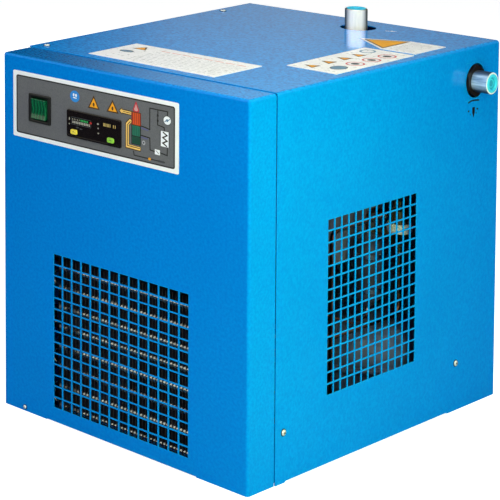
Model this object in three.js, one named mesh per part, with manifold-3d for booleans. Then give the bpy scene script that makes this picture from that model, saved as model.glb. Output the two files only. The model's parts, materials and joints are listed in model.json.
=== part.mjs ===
// Refrigerated compressed-air dryer: a folded sheet-metal casing on a base pan, with a control panel,
// a fan-cooled condenser, a hermetic compressor, an insulated air heat exchanger and a condensate drain.
// Millimetres. X runs to the right, Y to the back, Z up. The origin is the middle of the base's underside.
import * as THREE from 'three';
import { mergeGeometries, mergeVertices } from 'three/addons/utils/BufferGeometryUtils.js';
import Module from 'manifold-3d';

const wasm = await Module();
wasm.setup();

// ---- driving dimensions -------------------------------------------------------------------------
const WIDTH = 350;
const DEPTH = 500;
const HEIGHT = 450;
const SHEET = 1.5;                    // thickness of every folded sheet
const BEND = 3.5;                     // outside radius of a fold
const GAP = 0.3;                      // clearance between mating pieces
const TRAY_STEP = 1;                  // how far the front tray stands inside the main cover's faces
const TRAY_DEPTH = 48;                // how far the front tray wraps back over the top and sides
const SEAM = 1.2;                     // open line between the front tray and the main cover
const FOOT_LENGTH = 67;               // corner stretches of the lower edge that reach the ground
const FOOT_RISE = 1.5;                // lift of the lower edge between them

const GRILLE_PITCH = 13.85;
const GRILLE_BAR = 1.75;
const FRONT_GRILLE = { columns: 14, rows: 14, middle: [0, 115] };
const SIDE_GRILLE = { columns: 13, rows: 15, middle: [-14.8, 185.5] };

const PANEL = { x: -37.2, z: 388.3, width: 240.5, height: 82.5, thickness: 0.5, clearance: 0.2 };
const SWITCH = { x: -115.3, z: 387.2, width: 33, height: 35, rockerWidth: 22.5, rockerHeight: 25, depth: 24 };
const SWITCH_CUT_OUT = [SWITCH.width - 4, SWITCH.height - 4];
const CONTROLLER = { x: -34.4, z: 378.7, width: 78.5, height: 33.5, depth: 58 };
const CONTROLLER_CUT_OUT = [CONTROLLER.width - 7, CONTROLLER.height - 4.5];
const BUTTONS = { left: [-62.6, 369.2], right: [-9.2, 369.2], width: 9.5, height: 6, well: 0.7 };

const PIPE_RADIUS = 13.45;            // 3/4 inch pipe
const PIPE_BORE = 10.8;
const PIPE_Y = 197;
const INLET_X = 17.5;
const INLET_TOP = HEIGHT + 25;
const OUTLET_X = 70;
const OUTLET_Z = 407;
const OUTLET_END = WIDTH / 2 + 21;
const PIPE_HOLE = 21.3;
const ELBOW_RADIUS = 24;
const BACKNUT = { radius: 16.2, inside: 16, outside: 1 };
const PLUG = { clearance: 0.3, lip: 0.4, depth: 14, dish: 1.8 };

const TUBE_PITCH = 25;                // condenser tubes, up the coil
const TUBE_ROWS = 8;
const FIRST_TUBE_Z = 11;
const FRONT_ROW_Y = -222;
const REAR_ROW_Y = -200;
const COIL_TUBE = 4.76;
const FIN_HALF_WIDTH = 100;
const FIN_Y = [-230, -192];
const FIN_Z = [3, 199];
const SHROUD = { y: [-188.5, -187], halfWidth: 128, top: 214, foot: 16, collar: 14 };
const FAN = { z: 108, radius: 86, opening: 91, blades: 5, plane: -173, pitch: 27, bladeThickness: 1.8 };
const SHAFT = { radius: 3, bore: 3.3, y: [-188, -124] };
const FAN_BRACKET = { y: -103.6, halfWidth: 34, top: 150, foot: 23.6, flange: 11.6, boss: 10 };

const COMPRESSOR = { x: 100, y: 95, halfWidth: 62, halfDepth: 78, bottom: 12, top: 120 };
const FOOT_PLATE = { width: 136, depth: 182, corner: 12, z: [15, 17.5], hole: 7 };
const GROMMET_SPREAD = [56, 79];      // half the spacing of the four mounting feet
const EXCHANGER = { x: [-120, 100], y: [20, 238], z: [190, 372], foam: 18 };
const DRIER = { x: 125, y: 55, bottom: 134, top: 236 };
const VALVE = { x: 138, y: 100, bottom: 202, side: 222, feed: 126 };
const LINE_TUBE = 3.2;                // liquid and hot gas lines
const SUCTION_TUBE = 4.8;
const RISER = [60, -40];              // where the discharge line climbs
const LINE_TOP = 226;
const HEADER_X = -140;                // left of the coil, where both lines run down to it

const SCREW = { head: 3.6, rise: 2.1, shank: 1.75, length: 7, hole: 2.1 };
const FRONT_SCREW = [-141, 5];
const TOP_SCREWS = [[-161, -184.5], [-162, 172.5]];
const SIDE_SCREWS = [[-186.5, 59.3], [162.7, 60]];
const REAR_SCREWS = [[-164, 425], [164, 425]];
const REAR_FLANGE = [DEPTH / 2 - 4.2, DEPTH / 2 - 2.7];

const DRAIN = { x: -148, z: 55, hole: 8, body: [133, 167], middle: 150 };
const POWER = { x: 118, z: 62, halfWidth: 14, halfHeight: 10.5 };
const REAR_SLOTS = { count: 6, halfLength: 60, first: 110, pitch: 14, height: 5 };
const BOX = { x: [-WIDTH / 2 + SHEET + GAP, -135], y: [-150, -60], z: [300, 400] };
const CABLE = 3.5;
const LEAD = 2.8;
const CAPACITOR = { x: 24, z: 272, radius: 17 };

const ROUND = 20;                     // sides of a round piece
const FINE = 10;                      // sides of a small round piece

// ---- positions that follow from them ------------------------------------------------------------
const left = -WIDTH / 2;
const right = WIDTH / 2;
const front = -DEPTH / 2;
const back = DEPTH / 2;
const panelFace = front - PANEL.clearance - PANEL.thickness;
const bezelFace = panelFace - GAP / 2 - 2.2;
const rearFace = back - 0.4;
const filmZ = [HEIGHT + 0.15, HEIGHT + 0.45];
const pipeFoot = EXCHANGER.z[1] - EXCHANGER.foam - 0.7;
const foamSplit = (EXCHANGER.z[0] + EXCHANGER.z[1]) / 2;
const panFloor = SHEET + GAP;
const coilEnd = FIN_HALF_WIDTH + 20;
const tubeZ = (level) => FIRST_TUBE_Z + TUBE_PITCH * level;
const suctionPort = [COMPRESSOR.x - 12, 6, 78];
const dischargePort = [COMPRESSOR.x - 40, 14, 66];
const grommets = [[-1, -1], [1, -1], [-1, 1], [1, 1]].map(([i, j]) => [
  COMPRESSOR.x + i * GROMMET_SPREAD[0], COMPRESSOR.y + j * GROMMET_SPREAD[1]]);

// ---- geometry helpers ---------------------------------------------------------------------------
// A closed geometry reduced to shared corner points, without zero-area faces, with its faces outward.
function closed(geometry) {
  const bare = geometry.clone();
  for (const name of Object.keys(bare.attributes)) {
    if (name !== 'position') bare.deleteAttribute(name);
  }
  const merged = mergeVertices(bare, 1e-4);
  const p = merged.attributes.position;
  const source = merged.index.array;
  const kept = [];
  const [a, b, c] = [new THREE.Vector3(), new THREE.Vector3(), new THREE.Vector3()];
  let volume = 0;
  for (let i = 0; i < source.length; i += 3) {
    const [i0, i1, i2] = [source[i], source[i + 1], source[i + 2]];
    if (i0 === i1 || i1 === i2 || i2 === i0) continue;
    kept.push(i0, i1, i2);
    a.fromBufferAttribute(p, i0);
    b.fromBufferAttribute(p, i1);
    c.fromBufferAttribute(p, i2);
    volume += a.dot(b.cross(c));
  }
  if (volume < 0) {
    for (let i = 0; i < kept.length; i += 3) [kept[i], kept[i + 1]] = [kept[i + 1], kept[i]];
  }
  merged.setIndex(kept);
  return merged;
}

function toSolid(geometry) {
  const mesh = closed(geometry);
  return new wasm.Manifold(new wasm.Mesh({
    numProp: 3,
    vertProperties: new Float32Array(mesh.attributes.position.array),
    triVerts: new Uint32Array(mesh.index.array),
  }));
}

function toGeometry(solid) {
  const mesh = solid.getMesh();
  const geometry = new THREE.BufferGeometry();
  geometry.setAttribute('position', new THREE.Float32BufferAttribute(mesh.vertProperties, 3));
  geometry.setIndex(new THREE.Uint32BufferAttribute(mesh.triVerts, 1));
  return geometry;
}

function join(...pieces) {
  return toGeometry(pieces.map(toSolid).reduce((sum, piece) => sum.add(piece)));
}

function cut(body, ...tools) {
  return toGeometry(tools.map(toSolid).reduce((rest, tool) => rest.subtract(tool), toSolid(body)));
}

function common(...pieces) {
  return toGeometry(pieces.map(toSolid).reduce((sum, piece) => sum.intersect(piece)));
}

function block([x0, y0, z0], [x1, y1, z1]) {
  const box = new THREE.BoxGeometry(x1 - x0, y1 - y0, z1 - z0);
  return box.translate((x0 + x1) / 2, (y0 + y1) / 2, (z0 + z1) / 2);
}

// Turns geometry made along `native` so that it runs along `axis` instead.
function align(geometry, native, axis) {
  const order = { x: 0, y: 1, z: 2 };
  const turns = (order[axis] - order[native] + 3) % 3;
  const step = new THREE.Matrix4().makeBasis(
    new THREE.Vector3(0, 1, 0), new THREE.Vector3(0, 0, 1), new THREE.Vector3(1, 0, 0));
  for (let i = 0; i < turns; i += 1) geometry.applyMatrix4(step);
  return geometry;
}

function place(geometry, axis, [a, b], along = 0) {
  if (axis === 'x') return geometry.translate(along, a, b);
  if (axis === 'y') return geometry.translate(a, along, b);
  return geometry.translate(a, b, along);
}

// A round bar along an axis; `centre` holds its two other coordinates in x, y, z order.
function rod(axis, radius, from, to, centre, sides = ROUND) {
  const bar = new THREE.CylinderGeometry(radius, radius, to - from, sides);
  return place(align(bar, 'y', axis), axis, centre, (from + to) / 2);
}

// A turned piece: the profile holds [radius, distance along the axis] pairs.
function turned(axis, profile, centre, sides = ROUND) {
  const points = profile.map(([r, h]) => new THREE.Vector2(r, h));
  return place(align(new THREE.LatheGeometry(points, sides), 'y', axis), axis, centre);
}

function ring(axis, inner, outer, from, to, centre, sides = ROUND) {
  return turned(axis, [[inner, from], [outer, from], [outer, to], [inner, to], [inner, from]], centre, sides);
}

// A prism along an axis. Its outline is drawn in the two other coordinates, in x, y, z order.
function prism(axis, outline, from, to) {
  const shape = new THREE.Shape(outline.map(([u, v]) => new THREE.Vector2(u, v)));
  const body = new THREE.ExtrudeGeometry(shape, { depth: to - from, bevelEnabled: false });
  if (axis === 'z') return body.translate(0, 0, from);
  if (axis === 'x') return align(body, 'z', 'x').translate(from, 0, 0);
  return body.rotateX(Math.PI / 2).translate(0, to, 0);
}

function arc([cu, cv], radius, fromDegrees, toDegrees, segments = 4) {
  return Array.from({ length: segments + 1 }, (_, i) => {
    const angle = THREE.MathUtils.degToRad(fromDegrees + (toDegrees - fromDegrees) * i / segments);
    return [cu + radius * Math.cos(angle), cv + radius * Math.sin(angle)];
  });
}

function roundedRectangle([cu, cv], width, height, radius, segments = 3) {
  const [u, v] = [width / 2 - radius, height / 2 - radius];
  return [
    ...arc([cu + u, cv + v], radius, 0, 90, segments),
    ...arc([cu - u, cv + v], radius, 90, 180, segments),
    ...arc([cu - u, cv - v], radius, 180, 270, segments),
    ...arc([cu + u, cv - v], radius, 270, 360, segments),
  ];
}

// A pipe run: straight lengths with a bend of one radius at each inner point. Stations stand only
// where the run starts, ends or turns.
class PipeRun extends THREE.Curve {
  constructor(points, bendRadius, bendSteps = 5) {
    super();
    this.stations = [];
    const v = points.map((p) => new THREE.Vector3(...p));
    const last = v.length - 1;
    this.addStation(v[0], v[1].clone().sub(v[0]));
    for (let i = 1; i < last; i += 1) this.addBend(v[i - 1], v[i], v[i + 1], bendRadius, bendSteps);
    this.addStation(v[last], v[last].clone().sub(v[last - 1]));
  }

  addStation(point, direction) {
    this.stations.push({ point: point.clone(), tangent: direction.clone().normalize() });
  }

  addBend(before, corner, after, bendRadius, bendSteps) {
    const into = corner.clone().sub(before).normalize();
    const out = after.clone().sub(corner).normalize();
    const angle = into.angleTo(out);
    const setback = bendRadius * Math.tan(angle / 2);
    const centre = corner.clone()
      .addScaledVector(into, -setback)
      .addScaledVector(out.clone().addScaledVector(into, -out.dot(into)).normalize(), bendRadius);
    const axis = into.clone().cross(out).normalize();
    const arm = corner.clone().addScaledVector(into, -setback).sub(centre);
    for (let i = 0; i <= bendSteps; i += 1) {
      const turn = angle * i / bendSteps;
      this.addStation(
        centre.clone().add(arm.clone().applyAxisAngle(axis, turn)),
        into.clone().applyAxisAngle(axis, turn));
    }
  }

  get steps() {
    return this.stations.length - 1;
  }

  getPointAt(u) {
    return this.stations[Math.round(u * this.steps)].point.clone();
  }

  getTangentAt(u) {
    return this.stations[Math.round(u * this.steps)].tangent.clone();
  }
}

function sweep(run, radius, bore = 0, sides = 8) {
  const polygon = (r) => arc([0, 0], r, 0, 360 - 360 / sides, sides - 1).map((p) => new THREE.Vector2(...p));
  const shape = new THREE.Shape(polygon(radius));
  if (bore > 0) shape.holes.push(new THREE.Path(polygon(bore)));
  return new THREE.ExtrudeGeometry(shape, { steps: run.steps, extrudePath: run });
}

function tube(points, radius, bendRadius) {
  return sweep(new PipeRun(points, bendRadius, 4), radius, 0, 6);
}

const dryer = new THREE.Group();

function add(name, geometry, colour, roughness, metalness) {
  const material = new THREE.MeshStandardMaterial({ color: colour, roughness, metalness });
  const mesh = new THREE.Mesh(closed(geometry), material);
  mesh.geometry.computeVertexNormals();
  mesh.name = name;
  dryer.add(mesh);
}

const BLUE = [0x0a83d8, 0.35, 0.0];
const ZINC = [0xb9bdc0, 0.4, 0.9];
const COPPER = [0xc0703f, 0.35, 1.0];
const BRASS = [0xc9a45a, 0.35, 1.0];
const ALUMINIUM = [0xa9adb1, 0.4, 1.0];
const BLACK_PLASTIC = [0x17181a, 0.5, 0.0];
const BLACK_STEEL = [0x1d1e20, 0.4, 0.4];
const FOAM = [0x24262a, 0.95, 0.0];
const RUBBER = [0x1b1b1b, 0.9, 0.0];
const WHITE_FILM = [0xf2f2ee, 0.5, 0.0];

// ---- casing -------------------------------------------------------------------------------------
// Square openings in a grid, which run from `from` to `to` along the axis.
function grilleOpenings(axis, { columns, rows, middle }, [from, to]) {
  const size = GRILLE_PITCH - GRILLE_BAR;
  const openings = [];
  for (let i = 0; i < columns; i += 1) {
    for (let j = 0; j < rows; j += 1) {
      const u = middle[0] + (i - (columns - 1) / 2) * GRILLE_PITCH;
      const w = middle[1] + (j - (rows - 1) / 2) * GRILLE_PITCH;
      const hole = axis === 'x'
        ? block([from, u - size / 2, w - size / 2], [to, u + size / 2, w + size / 2])
        : block([u - size / 2, from, w - size / 2], [u + size / 2, to, w + size / 2]);
      openings.push(hole);
    }
  }
  return mergeGeometries(openings);
}

// The front tray's block, shrunk by `inset` on its closed sides and run past its open sides.
function trayBlock(inset, overrun) {
  const side = right - TRAY_STEP - inset;
  const top = HEIGHT - TRAY_STEP - inset;
  const face = front + inset;
  const rear = front + TRAY_DEPTH + overrun;
  const radius = BEND - inset;
  const plan = [[side, rear], [-side, rear], ...arc([-side + radius, face + radius], radius, 180, 270),
    ...arc([side - radius, face + radius], radius, 270, 360)];
  const profile = [[rear, -overrun], [rear, top], ...arc([face + radius, top - radius], radius, 90, 180),
    [face, -overrun]];
  return common(prism('z', plan, -overrun, top), prism('x', profile, -side, side));
}

function frontCover() {
  const through = [front - 2, front + SHEET + 2];
  const midSpan = right - TRAY_STEP - FOOT_LENGTH;
  const cutOut = ({ x, z }, [w, h]) => block(
    [x - w / 2, through[0], z - h / 2], [x + w / 2, through[1], z + h / 2]);
  return cut(
    trayBlock(0, 0),
    trayBlock(SHEET, 5),
    block([-midSpan, through[0], -1], [midSpan, through[1], FOOT_RISE]),
    grilleOpenings('y', FRONT_GRILLE, through),
    cutOut(SWITCH, SWITCH_CUT_OUT),
    cutOut(CONTROLLER, CONTROLLER_CUT_OUT),
    rod('y', SCREW.hole, ...through, FRONT_SCREW, FINE));
}

// The main cover is one sheet, folded once: it forms the top and the right side.
function mainCover() {
  const start = front + TRAY_DEPTH + SEAM;
  const outline = [
    [left, HEIGHT], ...arc([right - BEND, HEIGHT - BEND], BEND, 90, 0), [right, 0], [right - SHEET, 0],
    ...arc([right - BEND, HEIGHT - BEND], BEND - SHEET, 0, 90), [left, HEIGHT - SHEET]];
  const throughSide = [right - SHEET - 2, right + 2];
  const throughTop = [HEIGHT - SHEET - 2, HEIGHT + 2];
  const footEnds = [front + TRAY_DEPTH + 20, back - 104];
  const flangeHeight = [80, HEIGHT - SHEET - 5];
  const rearFlange = block(
    [right - SHEET - 20, REAR_FLANGE[0], flangeHeight[0]],
    [right - SHEET / 2, REAR_FLANGE[1], flangeHeight[1]]);
  return cut(
    join(prism('y', outline, start, back), rearFlange),
    block([throughSide[0], footEnds[0], -1], [throughSide[1], footEnds[1], FOOT_RISE]),
    grilleOpenings('x', SIDE_GRILLE, throughSide),
    rod('z', PIPE_HOLE, ...throughTop, [INLET_X + 1, PIPE_Y + 3]),
    rod('x', PIPE_HOLE, ...throughSide, [PIPE_Y + 1.5, OUTLET_Z]),
    ...TOP_SCREWS.map((spot) => rod('z', SCREW.hole, ...throughTop, spot, FINE)),
    ...SIDE_SCREWS.map((spot) => rod('x', SCREW.hole, ...throughSide, spot, FINE)),
    rod('y', SCREW.hole, REAR_FLANGE[0] - 2, REAR_FLANGE[1] + 2, REAR_SCREWS[1], FINE));
}

function leftPanel() {
  const start = front + TRAY_DEPTH + SEAM;
  const top = HEIGHT - SHEET - GAP;
  const flange = 24;
  return cut(
    join(
      block([left, start, FOOT_RISE], [left + SHEET, back, top]),
      block([left, start, top - SHEET], [left + flange, back - 20, top]),
      block([left, start, FOOT_RISE + 80], [left + flange / 2, start + SHEET, top]),
      block([left, REAR_FLANGE[0], FOOT_RISE + 80], [left + 20, REAR_FLANGE[1], top - 5])),
    ...TOP_SCREWS.map((spot) => rod('z', SCREW.hole, top - 5, top + 5, spot, FINE)),
    rod('y', SCREW.hole, REAR_FLANGE[0] - 2, REAR_FLANGE[1] + 2, REAR_SCREWS[0], FINE));
}

// The base pan is a tub: its two long sides stand up behind the covers, its front edge is a low lip.
function basePan() {
  const [x, y0, y1] = [right - 4, front + 2.1, back - 2.6];
  const wall = 70;
  const lip = 12;
  const rearLip = 34;
  const tub = (inset, overrun) => {
    const bottom = inset;
    const radius = BEND - inset;
    const plan = [
      [x - inset, y1 - inset], [-x + inset, y1 - inset], [-x + inset, y0 + inset], [x - inset, y0 + inset]];
    const section = [[x - inset, wall + overrun], [-x + inset, wall + overrun],
      ...arc([-x + inset + radius, bottom + radius], radius, 180, 270),
      ...arc([x - inset - radius, bottom + radius], radius, 270, 360)];
    return common(prism('z', plan, bottom, wall + overrun), prism('y', section, y0 + inset, y1 - inset));
  };
  return cut(
    tub(0, 0),
    tub(SHEET, 1),
    block([-x - 1, y0 - 1, lip], [x + 1, front + TRAY_DEPTH, wall + 1]),
    block([-x - 1, back - 60, rearLip], [x + 1, back, wall + 1]),
    rod('y', SCREW.hole, front - 1, front + 6, FRONT_SCREW, FINE),
    ...SIDE_SCREWS.map((spot) => rod('x', SCREW.hole, x - 4, x + 4, spot, FINE)));
}

function rearPanel() {
  const side = right - SHEET - GAP;
  const top = HEIGHT - SHEET - 2 * GAP - SHEET;
  const [inside, outside] = [rearFace - 5, rearFace + 5];
  const { count, halfLength, first, pitch, height } = REAR_SLOTS;
  const slots = Array.from({ length: count }, (_, i) => block(
    [-halfLength, inside, first + pitch * i], [halfLength, outside, first + pitch * i + height]));
  return cut(
    join(
      block([-side, rearFace - SHEET, FOOT_RISE], [side, rearFace, top]),
      block([-side + 30, rearFace - 14, top - SHEET], [side - 30, rearFace, top])),
    rod('y', DRAIN.hole, inside, outside, [DRAIN.x, DRAIN.z], FINE),
    block(
      [POWER.x - POWER.halfWidth, inside, POWER.z - POWER.halfHeight],
      [POWER.x + POWER.halfWidth, outside, POWER.z + POWER.halfHeight]),
    ...slots,
    ...REAR_SCREWS.map((spot) => rod('y', SCREW.hole, inside, outside, spot, FINE)));
}

// ---- fasteners ----------------------------------------------------------------------------------
// A pan-head screw. `seat` is the face it bears on; `out` is +1 or -1 along the axis.
function panHeadScrew(axis, seat, out, centre) {
  const start = seat + out * 0.1;
  const tip = start - out * SCREW.length;
  const crown = start + out * SCREW.rise;
  const profile = [[0, tip], [SCREW.shank, tip], [SCREW.shank, start], [SCREW.head, start],
    [SCREW.head, start + out * 0.8], [SCREW.head * 0.6, crown], [0, crown]];
  return turned(axis, profile, centre, 8);
}

// ---- controls -----------------------------------------------------------------------------------
function controlLabel() {
  const sheet = [panelFace, front - PANEL.clearance];
  const plate = prism('y', roundedRectangle([PANEL.x, PANEL.z], PANEL.width, PANEL.height, 2), ...sheet);
  const opening = ({ x, z }, [w, h]) => block(
    [x - w / 2, sheet[0] - 1, z - h / 2], [x + w / 2, sheet[1] + 1, z + h / 2]);
  return cut(plate, opening(SWITCH, SWITCH_CUT_OUT), opening(CONTROLLER, CONTROLLER_CUT_OUT));
}

function switchBody() {
  const { x, z, width, height, rockerWidth, rockerHeight, depth } = SWITCH;
  const flange = [panelFace - GAP / 2 - 2.4, panelFace - GAP / 2];
  const bezel = prism('y', roundedRectangle([x, z], width, height, 1.5), ...flange);
  const housing = block([x - 14, flange[1] - 1, z - 15], [x + 14, front + depth, z + 15]);
  const [w, h] = [rockerWidth / 2 + 0.7, rockerHeight / 2 + 1.1];
  const well = block([x - w, flange[0] - 1, z - h], [x + w, front + 9, z + h]);
  return cut(join(bezel, housing), well);
}

// The rocker's face is dished about its pivot, so either end stands proud as the other goes in.
function switchRocker() {
  const { x, z, rockerWidth, rockerHeight } = SWITCH;
  const h = rockerHeight / 2;
  const middle = front - 4.2;
  const tips = middle - 1.6;
  const outline = [[tips, z + h], [middle, z], [tips, z - h], [front + 2, z - h + 0.4], [front + 6, z - 4],
    [front + 6, z + 4], [front + 2, z + h - 0.4]];
  return prism('x', outline, x - rockerWidth / 2, x + rockerWidth / 2);
}

function controllerBody() {
  const { x, z, width, height, depth } = CONTROLLER;
  const bezel = prism('y', roundedRectangle([x, z], width, height, 2.2), bezelFace, panelFace - GAP / 2);
  const [w, h] = [(width - 8.5) / 2, (height - 6) / 2];
  const housing = block([x - w, panelFace - 1, z - h], [x + w, front + depth, z + h]);
  const [wellWidth, wellHeight] = [BUTTONS.width + BUTTONS.well, BUTTONS.height + BUTTONS.well];
  const wells = [BUTTONS.left, BUTTONS.right].map((spot) => prism(
    'y', roundedRectangle(spot, wellWidth, wellHeight, 2.3), bezelFace - 1, front + 3.5));
  return cut(join(bezel, housing), ...wells);
}

function pushButton(spot) {
  const outline = roundedRectangle(spot, BUTTONS.width, BUTTONS.height, 2);
  return prism('y', outline, bezelFace - 1.1, front + 2);
}

// ---- air side -----------------------------------------------------------------------------------
function inletPipe() {
  return ring('z', PIPE_BORE, PIPE_RADIUS, pipeFoot, INLET_TOP, [INLET_X, PIPE_Y]);
}

function outletPipe() {
  const run = [[OUTLET_X, PIPE_Y, pipeFoot], [OUTLET_X, PIPE_Y, OUTLET_Z], [OUTLET_END, PIPE_Y, OUTLET_Z]];
  const elbow = new PipeRun(run, ELBOW_RADIUS, 5);
  const centre = [PIPE_Y, OUTLET_Z];
  const [inner, outer] = [right - BACKNUT.inside, right + BACKNUT.outside];
  const nut = prism('x', arc(centre, BACKNUT.radius, 0, 300, 5), inner, outer);
  const through = rod('x', PIPE_BORE, inner - 4, outer + 3, centre, 16);
  return cut(join(sweep(elbow, PIPE_RADIUS, PIPE_BORE, 16), nut), through);
}

// A push-in transit plug with a dished face.
function pipePlug(axis, pipeEnd, centre) {
  const r = PIPE_BORE - PLUG.clearance;
  const face = pipeEnd + PLUG.lip;
  const profile = [[0, face - PLUG.depth], [r - 1, face - PLUG.depth], [r, face], [r - 2.4, face],
    [r - 3.4, face - PLUG.dish], [0, face - PLUG.dish]];
  return turned(axis, profile, centre);
}

function exchangerCore() {
  const { x, y, z } = EXCHANGER;
  const f = EXCHANGER.foam + 1;
  return block([x[0] + f, y[0] + f, z[0] + f], [x[1] - f, y[1] - f, z[1] - f]);
}

// Two insulation shells meet half-way up the exchanger.
function insulation(from, to) {
  const { x, y, z, foam } = EXCHANGER;
  const pipeHole = (holeX) => rod('z', PIPE_RADIUS + 0.7, z[1] - foam - 2, z[1] + 2, [holeX, PIPE_Y]);
  return cut(
    block([x[0], y[0], from], [x[1], y[1], to]),
    block([x[0] + foam, y[0] + foam, z[0] + foam], [x[1] - foam, y[1] - foam, z[1] - foam]),
    pipeHole(INLET_X),
    pipeHole(OUTLET_X));
}

function exchangerStand() {
  const top = EXCHANGER.z[0] - GAP;
  const [x, y] = [[EXCHANGER.x[0], 92], [32, 230]];
  const flange = 16;
  return join(
    block([x[0], y[0], top - SHEET], [x[1], y[1], top]),
    block([x[0], y[0], panFloor], [x[0] + SHEET, y[1], top]),
    block([x[0], y[1] - SHEET, panFloor], [x[1], y[1], top]),
    block([x[0], y[0], panFloor], [x[0] + flange, y[1], panFloor + SHEET]),
    block([x[0], y[1] - flange, panFloor], [x[1], y[1], panFloor + SHEET]));
}

// ---- refrigerant circuit ------------------------------------------------------------------------
// One tube threads the whole coil from the top to the bottom: on the right it crosses between the two
// rows, on the left it steps down a level.
function condenserCoil() {
  const points = [[-coilEnd, REAR_ROW_Y, tubeZ(TUBE_ROWS - 1)]];
  let [near, far] = [REAR_ROW_Y, FRONT_ROW_Y];
  for (let level = TUBE_ROWS - 1; level >= 0; level -= 1) {
    const lastLevel = level === 0;
    points.push([coilEnd - 1, near, tubeZ(level)], [coilEnd - 1, far, tubeZ(level)]);
    points.push([-coilEnd, far, tubeZ(level)]);
    if (!lastLevel) points.push([-coilEnd, far, tubeZ(level - 1)]);
    [near, far] = [far, near];
  }
  return sweep(new PipeRun(points, 10.9, 3), COIL_TUBE, 0, 6);
}

// The fin pack, as one block with the tubes' holes through it.
function condenserFins() {
  const holes = [];
  const reach = FIN_HALF_WIDTH + 2;
  for (let level = 0; level < TUBE_ROWS; level += 1) {
    for (const y of [FRONT_ROW_Y, REAR_ROW_Y]) {
      holes.push(rod('x', COIL_TUBE + 3 * GAP, -reach, reach, [y, tubeZ(level)], 8));
    }
  }
  const pack = block([-FIN_HALF_WIDTH, FIN_Y[0], FIN_Z[0]], [FIN_HALF_WIDTH, FIN_Y[1], FIN_Z[1]]);
  return cut(pack, mergeGeometries(holes));
}

function fanShroud() {
  const { y, halfWidth, top, foot, collar } = SHROUD;
  return cut(
    join(
      block([-halfWidth, y[0], panFloor], [halfWidth, y[1], top]),
      block([-halfWidth, y[0], panFloor], [halfWidth, y[0] + foot, panFloor + SHEET]),
      rod('y', FAN.opening + 1.8, y[1] - 1, y[1] + collar - 1, [0, FAN.z], 32)),
    rod('y', FAN.opening, y[0] - 2, y[1] + collar + 1, [0, FAN.z], 32));
}

function fanRotor() {
  const [nose, tail] = [FAN.plane - 11, FAN.plane + 11];
  const section = [[0, nose], [14, nose], [19, nose + 3], [21, nose + 8], [21, tail], [0, tail]];
  const hub = turned('y', section, [0, FAN.z]);
  const outline = [[14, -9], [40, -16], [66, -21], ...arc([0, 0], FAN.radius, -13, 17, 5), [60, 20], [34, 15],
    [14, 10]];
  const half = FAN.bladeThickness / 2;
  const blades = Array.from({ length: FAN.blades }, (_, i) => prism('z', outline, -half, half)
    .rotateX(THREE.MathUtils.degToRad(90 - FAN.pitch))
    .rotateY(2 * Math.PI * i / FAN.blades)
    .translate(0, FAN.plane, FAN.z));
  return cut(join(hub, ...blades), rod('y', SHAFT.bore, nose - 2, tail + 2, [0, FAN.z], FINE));
}

function fanMotor() {
  const profile = [
    [0, -157], [11, -157], [12, -152], [30, -152], [37, -147], [37, -112], [31, -104], [0, -104]];
  const shell = turned('y', profile, [0, FAN.z]);
  return cut(shell, rod('y', SHAFT.bore, -160, -120, [0, FAN.z], FINE));
}

function fanBracket() {
  const { y, halfWidth, top, foot, flange, boss } = FAN_BRACKET;
  return cut(
    join(
      block([-halfWidth, y, panFloor], [halfWidth, y + SHEET, top]),
      block([-halfWidth, y, panFloor], [halfWidth, y + foot, panFloor + SHEET]),
      block([-halfWidth, y, panFloor], [-halfWidth + SHEET, y + flange, top]),
      block([halfWidth - SHEET, y, panFloor], [halfWidth, y + flange, top])),
    rod('y', boss, y - 2, y + SHEET + 2, [0, FAN.z], FINE));
}

// The welded shell is oval; a stamped foot plate and two tube sockets are brazed to it.
function compressorShell() {
  const { x, y, halfWidth, halfDepth, bottom, top } = COMPRESSOR;
  const seam = bottom + 0.5 * (top - bottom);
  const rim = halfWidth;
  const lowerShell = [[0, bottom], [44, bottom], [55, bottom + 8], [59, bottom + 22], [59, seam - 3]];
  const upperShell = [
    [58, seam + 3], [56, top - 30], [48, top - 14], [34, top - 5], [16, top - 0.8], [0, top]];
  const profile = [...lowerShell, [rim, seam - 2], [rim, seam + 2], ...upperShell];
  const shell = turned('z', profile, [0, 0]).scale(1, halfDepth / halfWidth, 1).translate(x, y, 0);
  const outline = roundedRectangle([x, y], FOOT_PLATE.width, FOOT_PLATE.depth, FOOT_PLATE.corner);
  const plate = prism('z', outline, ...FOOT_PLATE.z);
  const holes = grommets.map((spot) => rod('z', FOOT_PLATE.hole, bottom - 2, bottom + 13, spot, FINE));
  const neck = rod('z', 30, bottom + 2, bottom + 18, [x, y]);
  const suctionSocket = rod('y', 6, suctionPort[1], y - 40, [suctionPort[0], suctionPort[2]], FINE);
  const dischargeSocket = rod('y', 4.5, dischargePort[1], y - 30, [dischargePort[0], dischargePort[2]], FINE);
  return cut(join(shell, neck, plate, suctionSocket, dischargeSocket), ...holes);
}

// A rubber foot with a groove that the compressor's foot plate sits in.
function grommet(spot) {
  const [under, over] = [FOOT_PLATE.z[0] - GAP, FOOT_PLATE.z[1] + GAP];
  const neck = FOOT_PLATE.hole - 0.4;
  const profile = [
    [0, panFloor], [11, panFloor], [9, under], [neck, under], [neck, over], [9.5, over], [0, over + 3.2]];
  return turned('z', profile, spot, FINE);
}

function terminalCover() {
  const x = COMPRESSOR.x - COMPRESSOR.halfWidth;
  return prism('z', roundedRectangle([x - 12, COMPRESSOR.y], 20, 46, 4), 38, 84);
}

function filterDrier() {
  const { x, y, bottom, top } = DRIER;
  return turned('z', [[0, bottom], [3.2, bottom], [3.2, bottom + 6], [12, bottom + 16], [15.5, bottom + 20],
    [15.5, top - 20], [12, top - 16], [4.2, top - 6], [4.2, top], [0, top]], [x, y]);
}

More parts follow.
